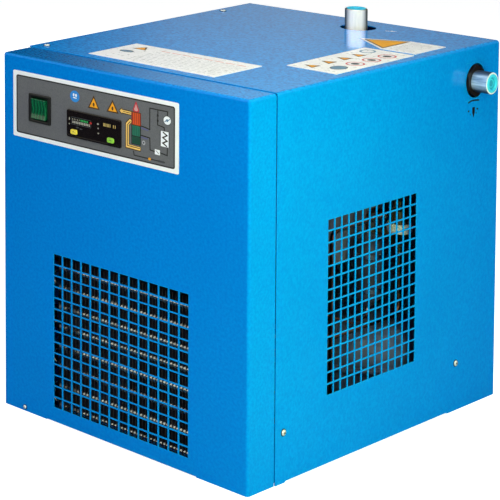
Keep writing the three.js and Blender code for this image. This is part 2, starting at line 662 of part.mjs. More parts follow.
// A fine tube, wound into a coil on its way from the drier to the exchanger.
function capillaryTube() {
  const coil = { radius: 17, turns: 4, height: 14, middle: [84, -8, 138], start: 0.3 };
  const helix = new THREE.Curve();
  const start = new THREE.Vector3(DRIER.x, DRIER.y, DRIER.bottom - GAP);
  const end = new THREE.Vector3(46, EXCHANGER.y[0] - GAP, 214);
  const stations = [
    start, start.clone().add(new THREE.Vector3(0, -2, -6)), new THREE.Vector3(DRIER.x, 24, 126)];
  const steps = coil.turns * 12;
  for (let i = 0; i <= steps; i += 1) {
    const angle = 2 * Math.PI * coil.turns * i / steps + coil.start;
    const arm = [coil.radius * Math.cos(angle), coil.radius * Math.sin(angle), coil.height * i / steps];
    stations.push(new THREE.Vector3(...coil.middle).add(new THREE.Vector3(...arm)));
  }
  stations.push(new THREE.Vector3(88, -2, 190), new THREE.Vector3(46, 4, 214), end);
  helix.getPointAt = (u) => stations[Math.round(u * (stations.length - 1))].clone();
  helix.getTangentAt = (u) => {
    const i = Math.round(u * (stations.length - 1));
    const after = stations[Math.min(i + 1, stations.length - 1)];
    return after.clone().sub(stations[Math.max(i - 1, 0)]).normalize();
  };
  helix.steps = stations.length - 1;
  return sweep(helix, 1.1, 0, 4);
}

function dischargeTube() {
  const [x, y] = RISER;
  const coilTop = tubeZ(TUBE_ROWS - 1);
  return tube([
    [dischargePort[0], dischargePort[1] - GAP, dischargePort[2]], [x, y, dischargePort[2]], [x, y, LINE_TOP],
    [HEADER_X, y, LINE_TOP], [HEADER_X, REAR_ROW_Y, LINE_TOP], [HEADER_X, REAR_ROW_Y, coilTop],
    [-coilEnd - GAP, REAR_ROW_Y, coilTop]], LINE_TUBE, 12);
}

function liquidTube() {
  const [sideX, crossY, loopTop] = [152, -60, DRIER.top + 26];
  return tube([
    [-coilEnd - GAP, REAR_ROW_Y, FIRST_TUBE_Z], [HEADER_X, REAR_ROW_Y, FIRST_TUBE_Z],
    [HEADER_X, crossY, FIRST_TUBE_Z], [sideX, crossY, FIRST_TUBE_Z], [sideX, crossY, loopTop],
    [sideX, DRIER.y, loopTop], [DRIER.x, DRIER.y, loopTop],
    [DRIER.x, DRIER.y, DRIER.top + GAP]], LINE_TUBE, 11);
}

function suctionTube() {
  const [x, y, z] = suctionPort;
  const [fromX, loopY, fromZ] = [24, -20, 232];
  return tube([[fromX, EXCHANGER.y[0] - GAP, fromZ], [fromX, loopY, fromZ], [fromX, loopY, z], [x, loopY, z],
    [x, y - GAP, z]], SUCTION_TUBE, 12);
}

// The hot gas bypass valve: a brass body with a hexagonal spring housing and a capped adjuster on top.
function bypassValve() {
  const { x, y, bottom, side } = VALVE;
  const stem = [[0, bottom], [5, bottom], [5, bottom + 8], [10, bottom + 8], [10, side + 12]];
  const head = [[14, side + 12], [14, side + 16], [9, side + 18], [9, side + 34], [6.5, side + 36],
    [6.5, side + 46], [0, side + 46]];
  return join(
    turned('z', [...stem, ...head], [x, y], FINE),
    prism('z', arc([x, y], 12.5, 0, 300, 5), side - 8, side + 6),
    rod('x', 5, x - 20, x, [y, side], FINE),
    rod('x', LINE_TUBE, EXCHANGER.x[1] + GAP, x, [y, side], FINE));
}

function bypassFeedTube() {
  const { x, y, bottom, feed } = VALVE;
  const joint = [RISER[0] + LINE_TUBE + GAP, RISER[1], feed];
  return tube([[x, y, bottom - GAP], [x, y, feed], [x, RISER[1], feed], joint], LINE_TUBE, 12);
}

function fanPressureSwitch() {
  const z = LINE_TOP + LINE_TUBE + GAP;
  const profile = [[0, z], [4, z], [4, z + 5], [9, z + 6], [9, z + 12], [11, z + 13], [11, z + 28],
    [7, z + 31], [0, z + 31]];
  return turned('z', profile, [-30, RISER[1]], FINE);
}

// ---- condensate drain ---------------------------------------------------------------------------
function drainValve() {
  const { x, z, middle } = DRAIN;
  return join(
    block([x - 12, DRAIN.body[0] + 6, z - 12], [x + 12, DRAIN.body[1] - 6, z + 12]),
    rod('y', 7, DRAIN.body[0], DRAIN.body[1], [x, z], FINE),
    rod('z', 5.5, z, z + 54, [x, middle], FINE));
}

function drainCoil() {
  const { x, z, middle } = DRAIN;
  const bottom = z + 12 + GAP;
  return cut(
    join(
      prism('z', roundedRectangle([x, middle], 30, 34, 5), bottom, bottom + 36),
      block([x - 9, 120, bottom + 8], [x + 9, 140, bottom + 28])),
    rod('z', 5.8, bottom - 2, bottom + 40, [x, middle], FINE));
}

function drainTube() {
  const { x, z } = DRAIN;
  const [y, top] = [60, 206];
  return tube([[EXCHANGER.x[0] - GAP, y, top], [x, y, top], [x, y, z], [x, DRAIN.body[0] - GAP, z]], 4, 12);
}

function drainOutlet() {
  const { x, z, hole } = DRAIN;
  const start = DRAIN.body[1] + GAP;
  const collar = hole - 0.5;
  const profile = [[0, start], [4.2, start], [4.2, back - 12], [collar, back - 12], [collar, back + 0.2],
    [11, back + 0.2], [11, back + 4], [5.2, back + 8], [3.6, back + 20], [2.2, back + 20], [2.2, back + 2],
    [0, back + 2]];
  return turned('y', profile, [x, z], FINE);
}

// ---- electrical ---------------------------------------------------------------------------------
function powerInlet() {
  const { x, z } = POWER;
  const face = rearFace;
  const shell = join(
    prism('y', roundedRectangle([x, z], 48, 24, 3), face + 0.2, face + 3),
    block([x - 13.4, face - 22, z - 10], [x + 13.4, face + 1, z + 10]));
  const recess = block([x - 11.5, face - 16, z - 8], [x + 11.5, face + 5, z + 8]);
  const pins = [[-7, -2], [0, 2], [7, -2]].map(([dx, dz]) => block(
    [x + dx - 1, face - 18, z + dz - 2.4], [x + dx + 1, face - 2, z + dz + 2.4]));
  return join(cut(shell, recess), ...pins);
}

function terminalBox() {
  const { x, y, z } = BOX;
  const shape = roundedRectangle([(y[0] + y[1]) / 2, (z[0] + z[1]) / 2], y[1] - y[0], z[1] - z[0], 5);
  return prism('x', shape, ...x);
}

function runCapacitor() {
  const { x, z, radius } = CAPACITOR;
  const profile = [[0, -140], [radius, -140], [radius, -74], [6, -73], [5, -62], [0, -62]];
  return turned('y', profile, [left + x, z], 16);
}

function controlHarness() {
  const { x, z, depth } = CONTROLLER;
  const [y, drop] = [-105, 10];
  return tube([[x, front + depth + GAP, z], [x, -150, z], [-90, y, z - drop], [BOX.x[1] + GAP, y, z - drop]],
    CABLE, 14);
}

function switchLead() {
  const { x, z, depth } = SWITCH;
  const [y, boxZ] = [-130, 350];
  return tube([[x, front + depth + GAP, z], [x, -180, z], [x, y, boxZ], [BOX.x[1] + GAP, y, boxZ]], LEAD, 9);
}

function compressorCable() {
  const coverX = COMPRESSOR.x - COMPRESSOR.halfWidth - 22;
  const [x, y, boxZ, coverZ] = [-20, -75, 320, 62];
  return tube([[BOX.x[1] + GAP, y, boxZ], [x, y, boxZ], [x, y, coverZ], [x, COMPRESSOR.y, coverZ],
    [coverX - GAP, COMPRESSOR.y, coverZ]], CABLE, 16);
}

// ---- labels -------------------------------------------------------------------------------------
function topFilm(x, y, width, length) {
  return prism('z', roundedRectangle([x, y], width, length, 1.5, 2), ...filmZ);
}

// The rear label is a panel with a pointed left end that carries a triangle.
function cornerFilm() {
  return prism('z', [[157, 97], [157, 163], [112, 163], [61, 137], [112, 97]], ...filmZ);
}

// ---- assembly -----------------------------------------------------------------------------------
add('base_pan', basePan(), ...BLUE);
add('front_cover', frontCover(), ...BLUE);
add('main_cover', mainCover(), ...BLUE);
add('left_panel', leftPanel(), ...BLUE);
add('rear_panel', rearPanel(), ...BLUE);
add('front_screw', panHeadScrew('y', front, -1, FRONT_SCREW), ...ZINC);
TOP_SCREWS.forEach((spot, i) => add(`top_screw_${i + 1}`, panHeadScrew('z', HEIGHT, 1, spot), ...ZINC));
SIDE_SCREWS.forEach((spot, i) => add(`side_screw_${i + 1}`, panHeadScrew('x', right, 1, spot), ...ZINC));
REAR_SCREWS.forEach((spot, i) => add(`rear_screw_${i + 1}`, panHeadScrew('y', rearFace, 1, spot), ...ZINC));

add('control_label', controlLabel(), 0x6b6e72, 0.5, 0);
add('switch_body', switchBody(), ...BLACK_PLASTIC);
add('switch_rocker', switchRocker(), 0x0d6b3f, 0.25, 0);
add('controller_body', controllerBody(), ...BLACK_PLASTIC);
add('controller_button_left', pushButton(BUTTONS.left), 0xd8c42c, 0.4, 0);
add('controller_button_right', pushButton(BUTTONS.right), 0x6fbf2f, 0.4, 0);
add('top_label_front', topFilm(-7, -140, 178, 92), ...WHITE_FILM);
add('top_label_side', topFilm(128.7, 9.8, 64, 159), ...WHITE_FILM);
add('top_label_corner', cornerFilm(), ...WHITE_FILM);

add('air_inlet_pipe', inletPipe(), ...ZINC);
add('air_outlet_pipe', outletPipe(), ...ZINC);
add('inlet_plug', pipePlug('z', INLET_TOP, [INLET_X, PIPE_Y]), 0x18b8b4, 0.4, 0);
add('outlet_plug', pipePlug('x', OUTLET_END, [PIPE_Y, OUTLET_Z]), 0x18b8b4, 0.4, 0);
add('exchanger_core', exchangerCore(), ...ALUMINIUM);
add('insulation_lower', insulation(EXCHANGER.z[0], foamSplit - GAP / 2), ...FOAM);
add('insulation_upper', insulation(foamSplit + GAP / 2, EXCHANGER.z[1]), ...FOAM);
add('exchanger_stand', exchangerStand(), ...ZINC);

add('condenser_fins', condenserFins(), 0x2a2b2d, 0.5, 0.6);
add('condenser_coil', condenserCoil(), ...COPPER);
add('fan_shroud', fanShroud(), ...BLACK_STEEL);
add('fan_rotor', fanRotor(), 0x30343a, 0.5, 0.3);
add('fan_shaft', rod('y', SHAFT.radius, ...SHAFT.y, [0, FAN.z], FINE), ...ZINC);
add('fan_motor', fanMotor(), ...BLACK_STEEL);
add('fan_bracket', fanBracket(), ...ZINC);
add('compressor', compressorShell(), ...BLACK_STEEL);
grommets.forEach((spot, i) => add(`compressor_grommet_${i + 1}`, grommet(spot), ...RUBBER));
add('compressor_terminal_cover', terminalCover(), ...BLACK_PLASTIC);
add('filter_drier', filterDrier(), ...COPPER);
add('capillary_tube', capillaryTube(), ...COPPER);
add('discharge_tube', dischargeTube(), ...COPPER);
add('liquid_tube', liquidTube(), ...COPPER);
add('suction_tube', suctionTube(), ...COPPER);
add('bypass_valve', bypassValve(), ...BRASS);
add('bypass_feed_tube', bypassFeedTube(), ...COPPER);
add('fan_pressure_switch', fanPressureSwitch(), ...BRASS);
add('drain_valve', drainValve(), ...BRASS);
add('drain_coil', drainCoil(), ...BLACK_PLASTIC);
add('drain_tube', drainTube(), 0xe8e6df, 0.4, 0);
add('drain_outlet', drainOutlet(), ...BLACK_PLASTIC);
add('power_inlet', powerInlet(), ...BLACK_PLASTIC);
add('terminal_box', terminalBox(), 0x8e9295, 0.6, 0);
add('run_capacitor', runCapacitor(), 0xd9d9d4, 0.4, 0);
add('control_harness', controlHarness(), 0x202226, 0.7, 0);
add('switch_lead', switchLead(), 0x202226, 0.7, 0);
add('compressor_cable', compressorCable(), 0x202226, 0.7, 0);

export default dryer;
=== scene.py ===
"""Looks of the refrigerated air dryer: folded painted sheets, printed panel and labels, pipes and insides.

Every piece is drawn in millimetres in the frame's own axes and scaled to metres when its mesh is made.
"""
import json
import math
import random

import bmesh
import bpy
from mathutils import Matrix, Vector


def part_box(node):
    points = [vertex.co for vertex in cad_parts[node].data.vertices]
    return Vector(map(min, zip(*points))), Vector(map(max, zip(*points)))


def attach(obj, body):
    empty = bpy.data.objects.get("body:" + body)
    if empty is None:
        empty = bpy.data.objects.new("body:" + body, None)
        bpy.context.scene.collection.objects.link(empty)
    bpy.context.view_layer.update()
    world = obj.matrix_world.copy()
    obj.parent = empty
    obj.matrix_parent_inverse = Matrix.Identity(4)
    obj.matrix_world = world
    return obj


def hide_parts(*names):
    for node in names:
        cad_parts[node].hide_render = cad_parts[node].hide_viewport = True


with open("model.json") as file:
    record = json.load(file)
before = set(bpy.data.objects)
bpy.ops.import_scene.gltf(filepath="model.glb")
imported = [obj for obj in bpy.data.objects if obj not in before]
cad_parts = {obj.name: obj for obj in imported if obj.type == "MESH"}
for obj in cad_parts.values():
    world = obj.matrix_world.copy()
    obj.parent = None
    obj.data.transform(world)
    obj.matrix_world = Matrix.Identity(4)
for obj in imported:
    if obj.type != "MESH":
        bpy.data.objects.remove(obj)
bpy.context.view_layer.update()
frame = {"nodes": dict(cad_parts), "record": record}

MM = 0.001
HALF_PI = math.pi / 2
BODY_OF = {node: body for body, nodes in frame["record"]["behaviour"]["bodies"].items() for node in nodes}
COVER_SET = "front_cover_set"


# ---- places and sizes, in millimetres -----------------------------------------------------------
def box(node):
    """Lowest and highest corner of a CAD node."""
    low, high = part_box(node)
    return low / MM, high / MM


def middle(node):
    low, high = box(node)
    return (low + high) / 2


def pair(stem):
    """The middles of two like nodes, numbered 1 and 2."""
    return [middle(f"{stem}_{i}") for i in (1, 2)]


def seen(node, across="x", up="z"):
    """Centre, width and height of a node in one view."""
    low, high = box(node)
    u0, u1, v0, v1 = getattr(low, across), getattr(high, across), getattr(low, up), getattr(high, up)
    return ((u0 + u1) / 2, (v0 + v1) / 2), u1 - u0, v1 - v0


TRAY_LOW, TRAY_HIGH = box("front_cover")
COVER_LOW, COVER_HIGH = box("main_cover")
FRONT = TRAY_LOW.y
BACK = COVER_HIGH.y
SIDE = COVER_HIGH.x
TOP = COVER_HIGH.z
SHEET = 1.5
SHEET_EDGE = 0.3
BEND = 3.5
BEND_ARC = BEND * HALF_PI
FOOT_LENGTH = 67
FOOT_RISE = 1.5
GRILLE_PITCH = 13.85
GRILLE_HOLE = 12.1
FRONT_GRILLE = {"columns": 14, "rows": 14, "middle": (0, 115)}
SIDE_GRILLE = {"columns": 13, "rows": 15, "middle": (-14.8, 185.5)}
SCREW_HOLE = 2.1
PIPE_HOLE = 21.3
FLANGE_FOOT = 80                    # height at which the covers' inner flanges start
BACK_FLANGE_Y = BACK - 4.2


# ---- materials ----------------------------------------------------------------------------------
class Shader:
    """A small wrapper that adds and links shader nodes in a material or a world."""

    def __init__(self, block, surface="Principled BSDF"):
        block.use_nodes = True
        self.block = block
        self.tree = block.node_tree
        self.surface = self.tree.nodes[surface]
        self.place = self.add("ShaderNodeTexCoord").outputs["Object"]

    def add(self, kind, settings=None, **inputs):
        node = self.tree.nodes.new(kind)
        for key, value in (settings or {}).items():
            setattr(node, key, value)
        for key, value in inputs.items():
            self.set(node.inputs[key.replace("_", " ")], value)
        return node

    def set(self, socket, value):
        if isinstance(value, bpy.types.NodeSocket):
            self.tree.links.new(value, socket)
        else:
            socket.default_value = value

    def stretched(self, scale):
        return self.add("ShaderNodeMapping", Vector=self.place, Scale=scale).outputs["Vector"]

    def noise(self, scale, detail=3.0, vector=None):
        node = self.add("ShaderNodeTexNoise", Vector=vector or self.place, Scale=scale, Detail=detail)
        return node.outputs["Fac"]

    def cells(self, scale):
        """A grey of its own in every small cell."""
        colour = self.add("ShaderNodeTexVoronoi", Vector=self.place, Scale=scale).outputs["Color"]
        return self.add("ShaderNodeRGBToBW", Color=colour).outputs["Val"]

    def remap(self, value, low, high, start=0.3, end=0.7):
        node = self.add("ShaderNodeMapRange", Value=value)
        for socket, number in zip(("From Min", "From Max", "To Min", "To Max"), (start, end, low, high)):
            node.inputs[socket].default_value = number
        return node.outputs["Result"]

    def mix(self, kind, factor, first, second):
        node = self.add("ShaderNodeMix", {"data_type": kind}, Factor=factor)
        self.set(node.inputs["A"], first)
        self.set(node.inputs["B"], second)
        wanted = "RGBA" if kind == "RGBA" else "VALUE"
        return next(o for o in node.outputs if o.type == wanted)

    def blend(self, factor, first, second):
        return self.mix("RGBA", factor, first, second)

    def combine(self, kind, operation, first, second):
        node = self.add(kind, {"operation": operation})
        self.set(node.inputs[0], first)
        self.set(node.inputs[1], second)
        return node.outputs["Value"]

    def part(self, vector, letter):
        return self.add("ShaderNodeSeparateXYZ", Vector=vector).outputs[letter]

    def normal(self):
        return self.add("ShaderNodeNewGeometry").outputs["Normal"]

    def bump(self, height, distance, strength=1.0, **under):
        return self.add("ShaderNodeBump", Height=height, Distance=distance, Strength=strength,
                        **under).outputs["Normal"]

    def edges(self, radius):
        """1 along convex and concave edges, 0 on flat faces."""
        rounded = self.add("ShaderNodeBevel", {"samples": 4}, Radius=radius).outputs["Normal"]
        likeness = self.combine("ShaderNodeVectorMath", "DOT_PRODUCT", rounded, self.normal())
        return self.remap(likeness, 1.0, 0.0, 0.8, 0.995)

    def ray(self, kind):
        return self.add("ShaderNodeLightPath").outputs[f"Is {kind} Ray"]

    def finish(self, **inputs):
        for key, value in inputs.items():
            self.set(self.surface.inputs[key.replace("_", " ")], value)
        return self.block


def paint(name):
    return Shader(bpy.data.materials.new(name))


def rgb(code, scale=1.0):
    """A linear colour from a hexadecimal sRGB code."""
    channels = [int(code[i:i + 2], 16) / 255 for i in (0, 2, 4)]
    linear = [c / 12.92 if c <= 0.04045 else ((c + 0.055) / 1.055) ** 2.4 for c in channels]
    return (*(c * scale for c in linear), 1.0)


def powder_coat(name, painted_shade=0.0):
    """Satin blue paint: fine flecks, a coarser grain on upward faces, and a painted highlight along the
    edges.

    The second argument is painted shade: it darkens the left of the upward faces.
    """
    s = paint(name)
    fleck = s.noise(300.0, 2.0)
    upward = s.remap(s.part(s.normal(), "Z"), 0.0, 1.0, 0.5, 0.9)
    base = s.blend(s.remap(s.noise(6.0, 4.0), 0.0, 1.0), rgb("0085df"), rgb("008ae5"))
    base = s.blend(s.remap(fleck, 0.1, 0.7), base, rgb("006ccf"))
    coarse = s.blend(s.remap(s.noise(330.0, 1.5), 0.15, 0.85, 0.36, 0.64), rgb("0068b8"), rgb("009cf6"))
    base = s.blend(upward, base, coarse)
    # Painted shade: the left of the upward faces darkens towards deep blue, as far as the second argument
    # sets.
    left_shade = s.remap(s.part(s.place, "X"), painted_shade, 0.0, -0.06, 0.16)
    base = s.blend(s.combine("ShaderNodeMath", "MULTIPLY", upward, left_shade), base, rgb("003468"))
    # Painted highlight: a pale cyan line along every edge of the sheet.
    base = s.blend(s.remap(s.edges(0.0009), 0.0, 0.6, 0.0, 1.0), base, rgb("22bdf5"))
    return s.finish(
        Base_Color=base, Roughness=s.remap(s.noise(40.0), 0.09, 0.13), Specular_Tint=(0.25, 0.6, 1.0, 1.0),
        Normal=s.bump(s.noise(340.0, 1.0), 0.00002, 0.2), Specular_IOR_Level=s.remap(fleck, 0.56, 0.44))


def moulded(name, code, roughness=0.45, texture=1200.0, depth=0.00004, coat=0.0, variation=0.18, dirt=None):
    """Moulded plastic, rubber or print: even colour with a fine grain and slight blotches."""
    s = paint(name)
    base = s.blend(s.remap(s.noise(55.0, 4.0), 0.0, 1.0), rgb(code, 1 - variation), rgb(code))
    if dirt:
        base = s.blend(s.remap(s.noise(420.0, 3.0), 0.0, 0.5, 0.5, 0.75), base, rgb(dirt))
    normal = s.bump(s.noise(texture, 2.0), depth, 0.5)
    rough = s.remap(s.noise(160.0), roughness * 0.85, roughness * 1.15)
    return s.finish(Base_Color=base, Roughness=rough, Normal=normal, Coat_Weight=coat, Coat_Roughness=0.08)


def zinc(name, code, metallic):
    """Plated steel with a faint spangle and fine scratches."""
    s = paint(name)
    base = s.blend(s.remap(s.cells(160.0), 0.0, 1.0, 0.2, 0.8), rgb(code, 0.82), rgb(code))
    scratch = s.noise(90.0, 6.0, s.stretched((1.0, 1.0, 14.0)))
    return s.finish(Base_Color=base, Roughness=s.remap(scratch, 0.225, 0.405), Metallic=metallic,
                    Normal=s.bump(scratch, 0.00003, 0.4))


def drawn_metal(name, code, tarnish, roughness):
    """Copper, brass or aluminium with darker tarnished clouds and fine draw lines."""
    s = paint(name)
    base = s.blend(s.remap(s.noise(45.0, 5.0), 0.0, 0.75, 0.4, 0.75), rgb(code), rgb(tarnish))
    rough = s.remap(s.noise(70.0, 4.0), roughness * 0.7, roughness * 1.6)
    return s.finish(Base_Color=base, Roughness=rough, Metallic=1.0,
                    Normal=s.bump(s.noise(500.0), 0.00003, 0.35))


def painted_steel(name, code, roughness=0.4, wear="5a5652"):
    """Dark painted steel, greyed by dust, and paler along its edges: partly rubbed wear, partly a painted
    highlight.
    """
    s = paint(name)
    base = s.blend(s.remap(s.noise(38.0, 5.0), 0.0, 0.5, 0.42, 0.72), rgb(code), rgb(wear))
    # Paler along every edge: rubbed wear and a painted highlight.
    base = s.blend(s.remap(s.edges(0.0007), 0.0, 0.5, 0.0, 1.0), base, rgb("8a8580"))
    rough = s.remap(s.noise(110.0), roughness * 0.8, roughness * 1.3)
    return s.finish(Base_Color=base, Roughness=rough, Normal=s.bump(s.noise(420.0), 0.00006, 0.4))


def insulation_foam():
    """Elastomeric foam: a leathery skin over closed cells."""
    s = paint("insulation_foam")
    pores = s.add("ShaderNodeTexVoronoi", Vector=s.place, Scale=420.0).outputs["Distance"]
    base = s.blend(s.remap(s.noise(30.0, 5.0), 0.0, 1.0), rgb("3a3d5c"), rgb("50557e"))
    waves = s.bump(s.noise(60.0, 4.0), 0.0012, 0.5, Normal=s.bump(pores, 0.0003, 0.6))
    return s.finish(Base_Color=base, Roughness=0.85, Normal=waves, Sheen_Weight=0.3)


def lamp_green():
    """The rocker's clear green plastic, ribbed behind its face so that it shows upright stripes, with
    painted shade towards its bottom.
    """
    s = paint("lamp_green")
    stripes = s.add("ShaderNodeTexWave", {"bands_direction": "X"}, Vector=s.place, Scale=70.0,
                    Distortion=3.5, Detail=3.0).outputs["Fac"]
    low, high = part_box("switch_rocker")
    height = s.remap(s.part(s.place, "Z"), 0.0, 1.0, low.z, high.z)
    base = s.blend(s.remap(stripes, 0.0, 1.0, 0.2, 0.9), rgb("053d29"), rgb("0f6a44"))
    # Painted shade: darker towards the rocker's bottom, where its well shades it.
    base = s.blend(s.remap(height, 0.35, 0.0, 0.0, 0.6), base, rgb("02281b"))
    return s.finish(
        Base_Color=base, Roughness=0.16, Transmission_Weight=0.25, IOR=1.49, Coat_Weight=0.4,
        Normal=s.bump(stripes, 0.00015, 0.4), Emission_Color=rgb("0b6a41"), Emission_Strength=0.12)


def overlay_grey():
    """The printed grey field of the control label, with a fine embossed texture."""
    s = paint("overlay_grey")
    weave = s.cells(900.0)
    base = s.blend(s.remap(weave, 0.0, 0.6, 0.3, 0.8), rgb("676a6f"), rgb("54575c"))
    base = s.blend(s.remap(s.noise(30.0), 0.0, 0.35), base, rgb("5d6067"))
    return s.finish(Base_Color=base, Roughness=0.42, Normal=s.bump(weave, 0.00003, 0.5))


def plated_pipe(name, pale, shade, outline, along, mirrored=0.0):
    """Zinc-plated pipe: pale, with lengthwise streaks, and darker towards its outline as painted shade and
    reflection.

    `mirrored` makes the pipe glow to glossy rays only, a painted brightening of its reflection in the paint
    beside it.
    """
    s = paint(name)
    streak = s.noise(260.0, 5.0, s.stretched(along))
    base = s.blend(s.remap(streak, 0.0, 1.0, 0.35, 0.65), rgb(shade), rgb(pale))
    base = s.blend(s.remap(s.noise(60.0, 4.0), 0.0, 0.3, 0.45, 0.7), base, rgb(shade))
    # Painted shade and reflection: the pipe darkens towards its outline in view.
    painted_outline_shade = s.add("ShaderNodeLayerWeight", Blend=0.5).outputs["Facing"]
    base = s.blend(s.remap(painted_outline_shade, 0.0, 0.95, 0.14, 0.55), base, rgb(outline))
    # The glow to glossy rays is a painted brightening of the pipe's reflection.
    return s.finish(
        Base_Color=base, Roughness=s.remap(streak, 0.3, 0.45), Metallic=0.2,
        Normal=s.bump(streak, 0.00004, 0.4),
        Emission_Color=base, Emission_Strength=s.remap(s.ray("Glossy"), 0.0, mirrored, 0.0, 1.0))


BLUE = powder_coat("powder_coat")
# The tray's paint has painted shade on the left of its top.
TRAY_BLUE = powder_coat("tray_powder_coat", 0.5)
ZINC = zinc("zinc_plate", "c9ccd0", 1.0)
SCREW_ZINC = zinc("screw_zinc", "eef4ff", 0.4)
# The inlet pipe glows to glossy rays: a painted brightening of its reflection in the top.
PIPE = plated_pipe("inlet_pipe_zinc", "fff9ff", "ece8f2", "3c4746", (1.0, 1.0, 0.12), 1.1)
# The outlet pipe's blue pale and shade colours are a painted reflection of the blue covers round it.
SIDE_PIPE = plated_pipe("outlet_pipe_zinc", "a9c2ee", "51709f", "17151c", (0.12, 1.0, 1.0))
PIPE_RIM = moulded("pipe_rim", "dfeafc", 0.3)
BACKNUT = moulded("backnut_black", "17110f", 0.35)
COPPER = drawn_metal("copper_tube", "c98458", "5a3a2b", 0.25)
TINNED = drawn_metal("tinned_tube", "d6d6d6", "747478", 0.2)
BRASS = drawn_metal("brass_fitting", "d2b068", "6a5430", 0.3)
ALUMINIUM = drawn_metal("plate_aluminium", "b9bcc0", "7f8388", 0.4)
SOLDER = drawn_metal("silver_solder", "c9cad0", "7c7c84", 0.25)
BLACK_STEEL = painted_steel("black_steel_paint", "1d1d1e", 0.35)
FIN = painted_steel("fin_coating", "161923", 0.5, "323647")
COMPRESSOR_PAINT = painted_steel("compressor_paint", "30385a", wear="6475a8")
DRIER_PAINT = painted_steel("drier_paint", "22263a", wear="404a70")
BLACK = moulded("black_plastic", "17171a", 0.38, 1500.0)
CONTROLLER_FACE = moulded("controller_window", "150d0e", 0.16, 300.0, 0.00001, 0.5)
GREY_PLASTIC = moulded("grey_plastic", "8d9194", 0.5)
WHITE_PLASTIC = moulded("white_plastic", "c3cad8", 0.35)
RUBBER = moulded("rubber", "1c1c1c", 0.75, 700.0, 0.00008)
NYLON = moulded("nylon_tube", "e4e2da", 0.3, coat=0.3)
CABLE = moulded("cable_jacket", "202226", 0.55, 900.0, 0.00006)
FOAM = insulation_foam()
GREEN_LAMP = lamp_green()
OVERLAY = overlay_grey()
LABEL_WHITE = moulded("label_white", "eef5fc", 0.35, 900.0, 0.00002, 0.0, 0.04)
FILM_WHITE = moulded("film_white", "f0f0f6", 0.3, 600.0, 0.00003, 0.2, 0.06)
BUTTON_YELLOW = moulded("button_yellow", "ecd94a", 0.35, coat=0.2)
BUTTON_GREEN = moulded("button_green", "8fcf45", 0.35, coat=0.2)
TEAL = moulded("plug_teal", "36c9f2", 0.42, 500.0, 0.0001)
# A darker teal: painted shade in the plugs' dished faces.
TEAL_PAINTED_SHADE = moulded("plug_teal_painted_shade", "1598c4", 0.5, 500.0, 0.0001)
MATT_INKS = {"black": "1b1b1d", "slate": "3d4149", "faint": "aeb2ba", "rose": "d3a09d"}
BRIGHT_INKS = {
    "crimson": "c02a3c", "green": "23705c", "pine": "16493b", "violet": "55588f", "blue": "2b8be0",
    "gold": "f6cd72",
    "slate_blue": "6388a6", "umber": "4a3418", "brown": "8c2f1c", "orange": "d4521f"}
LAMPS = {"led_green": "2fae5c", "led_red": "d02a2a", "led_pale": "a7a79f", "led_gold": "b9a463"}
PRINT = {
    "white": LABEL_WHITE,
    # The dark stamp ink also paints shade in the screws' cross recesses and the shadow ring round their
    # heads.
    "stamp_and_shade": moulded("ink_stamp", "07080d", 0.6),
    "amber": moulded("ink_amber", "f2a51e", dirt="d98b12"),
    "yellow": moulded("ink_yellow", "eaa41c", dirt="d68f14"),
    **{name: moulded(f"ink_{name}", code, 0.5) for name, code in MATT_INKS.items()},
    **{name: moulded(f"ink_{name}", code) for name, code in BRIGHT_INKS.items()},
    **{name: moulded(name, code, 0.3, coat=0.3) for name, code in LAMPS.items()},
}
SLOTS = {
    "blue_paint": (BLUE, TRAY_BLUE),
    "zinc_steel": (ZINC, SCREW_ZINC, PIPE, SIDE_PIPE, PIPE_RIM, BACKNUT, SOLDER),
    "copper": (COPPER, TINNED),
    "brass": (BRASS,),
    "black_steel": (BLACK_STEEL, COMPRESSOR_PAINT, DRIER_PAINT),
    "fin_black": (FIN,),
    "black_plastic": (BLACK, CONTROLLER_FACE),
    "grey_plastic": (GREY_PLASTIC,),
    "white_plastic": (WHITE_PLASTIC, NYLON),
    "teal_plastic": (TEAL, TEAL_PAINTED_SHADE),
    "rubber": (RUBBER,),
    "cable": (CABLE,),
    "foam": (FOAM,),
    "green_rocker": (GREEN_LAMP,),
    "yellow_button": (BUTTON_YELLOW,),
    "green_button": (BUTTON_GREEN,),
    "label_white": (LABEL_WHITE, FILM_WHITE),
    "label_grey": (OVERLAY,),
}
SLOT_OF = {material.name: slot for slot, materials in SLOTS.items() for material in materials}


# ---- mesh helpers -------------------------------------------------------------------------------
def register(obj, nodes="", body="casing", slot=None):
    """Puts a piece on its body, in the place of the CAD nodes it shows."""
    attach(obj, body)
    slot or SLOT_OF[obj.data.materials[0].name]
    if nodes:
        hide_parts(*nodes.split())
    return obj


def object_from(bm, name, material, merge=0.0005, closed=True):
    """Makes an object from a bmesh drawn in millimetres."""
    if closed:
        bmesh.ops.recalc_face_normals(bm, faces=bm.faces)
    bmesh.ops.remove_doubles(bm, verts=bm.verts, dist=merge)
    bmesh.ops.scale(bm, vec=(MM, MM, MM), verts=bm.verts)
    mesh = bpy.data.meshes.new(name)
    bm.to_mesh(mesh)
    bm.free()
    mesh.materials.append(material)
    obj = bpy.data.objects.new(name, mesh)
    bpy.context.scene.collection.objects.link(obj)
    return obj


def modify(obj, name, kind, **settings):
    modifier = obj.modifiers.new(name, kind)
    for key, value in settings.items():
        setattr(modifier, key, value)


def apply_modifiers(obj):
    graph = bpy.context.evaluated_depsgraph_get()
    mesh = bpy.data.meshes.new_from_object(obj.evaluated_get(graph))
    obj.modifiers.clear()
    obj.data = mesh


def smooth(obj, degrees=38):
    obj.data.shade_smooth()
    obj.data.set_sharp_from_angle(angle=math.radians(degrees))
    modify(obj, "normals", "WEIGHTED_NORMAL", keep_sharp=True)
    return obj


def add_bevel(obj, width, segments, degrees, **settings):
    modify(obj, "edges", "BEVEL", width=width * MM, segments=segments, limit_method="ANGLE",
           angle_limit=math.radians(degrees), **settings)


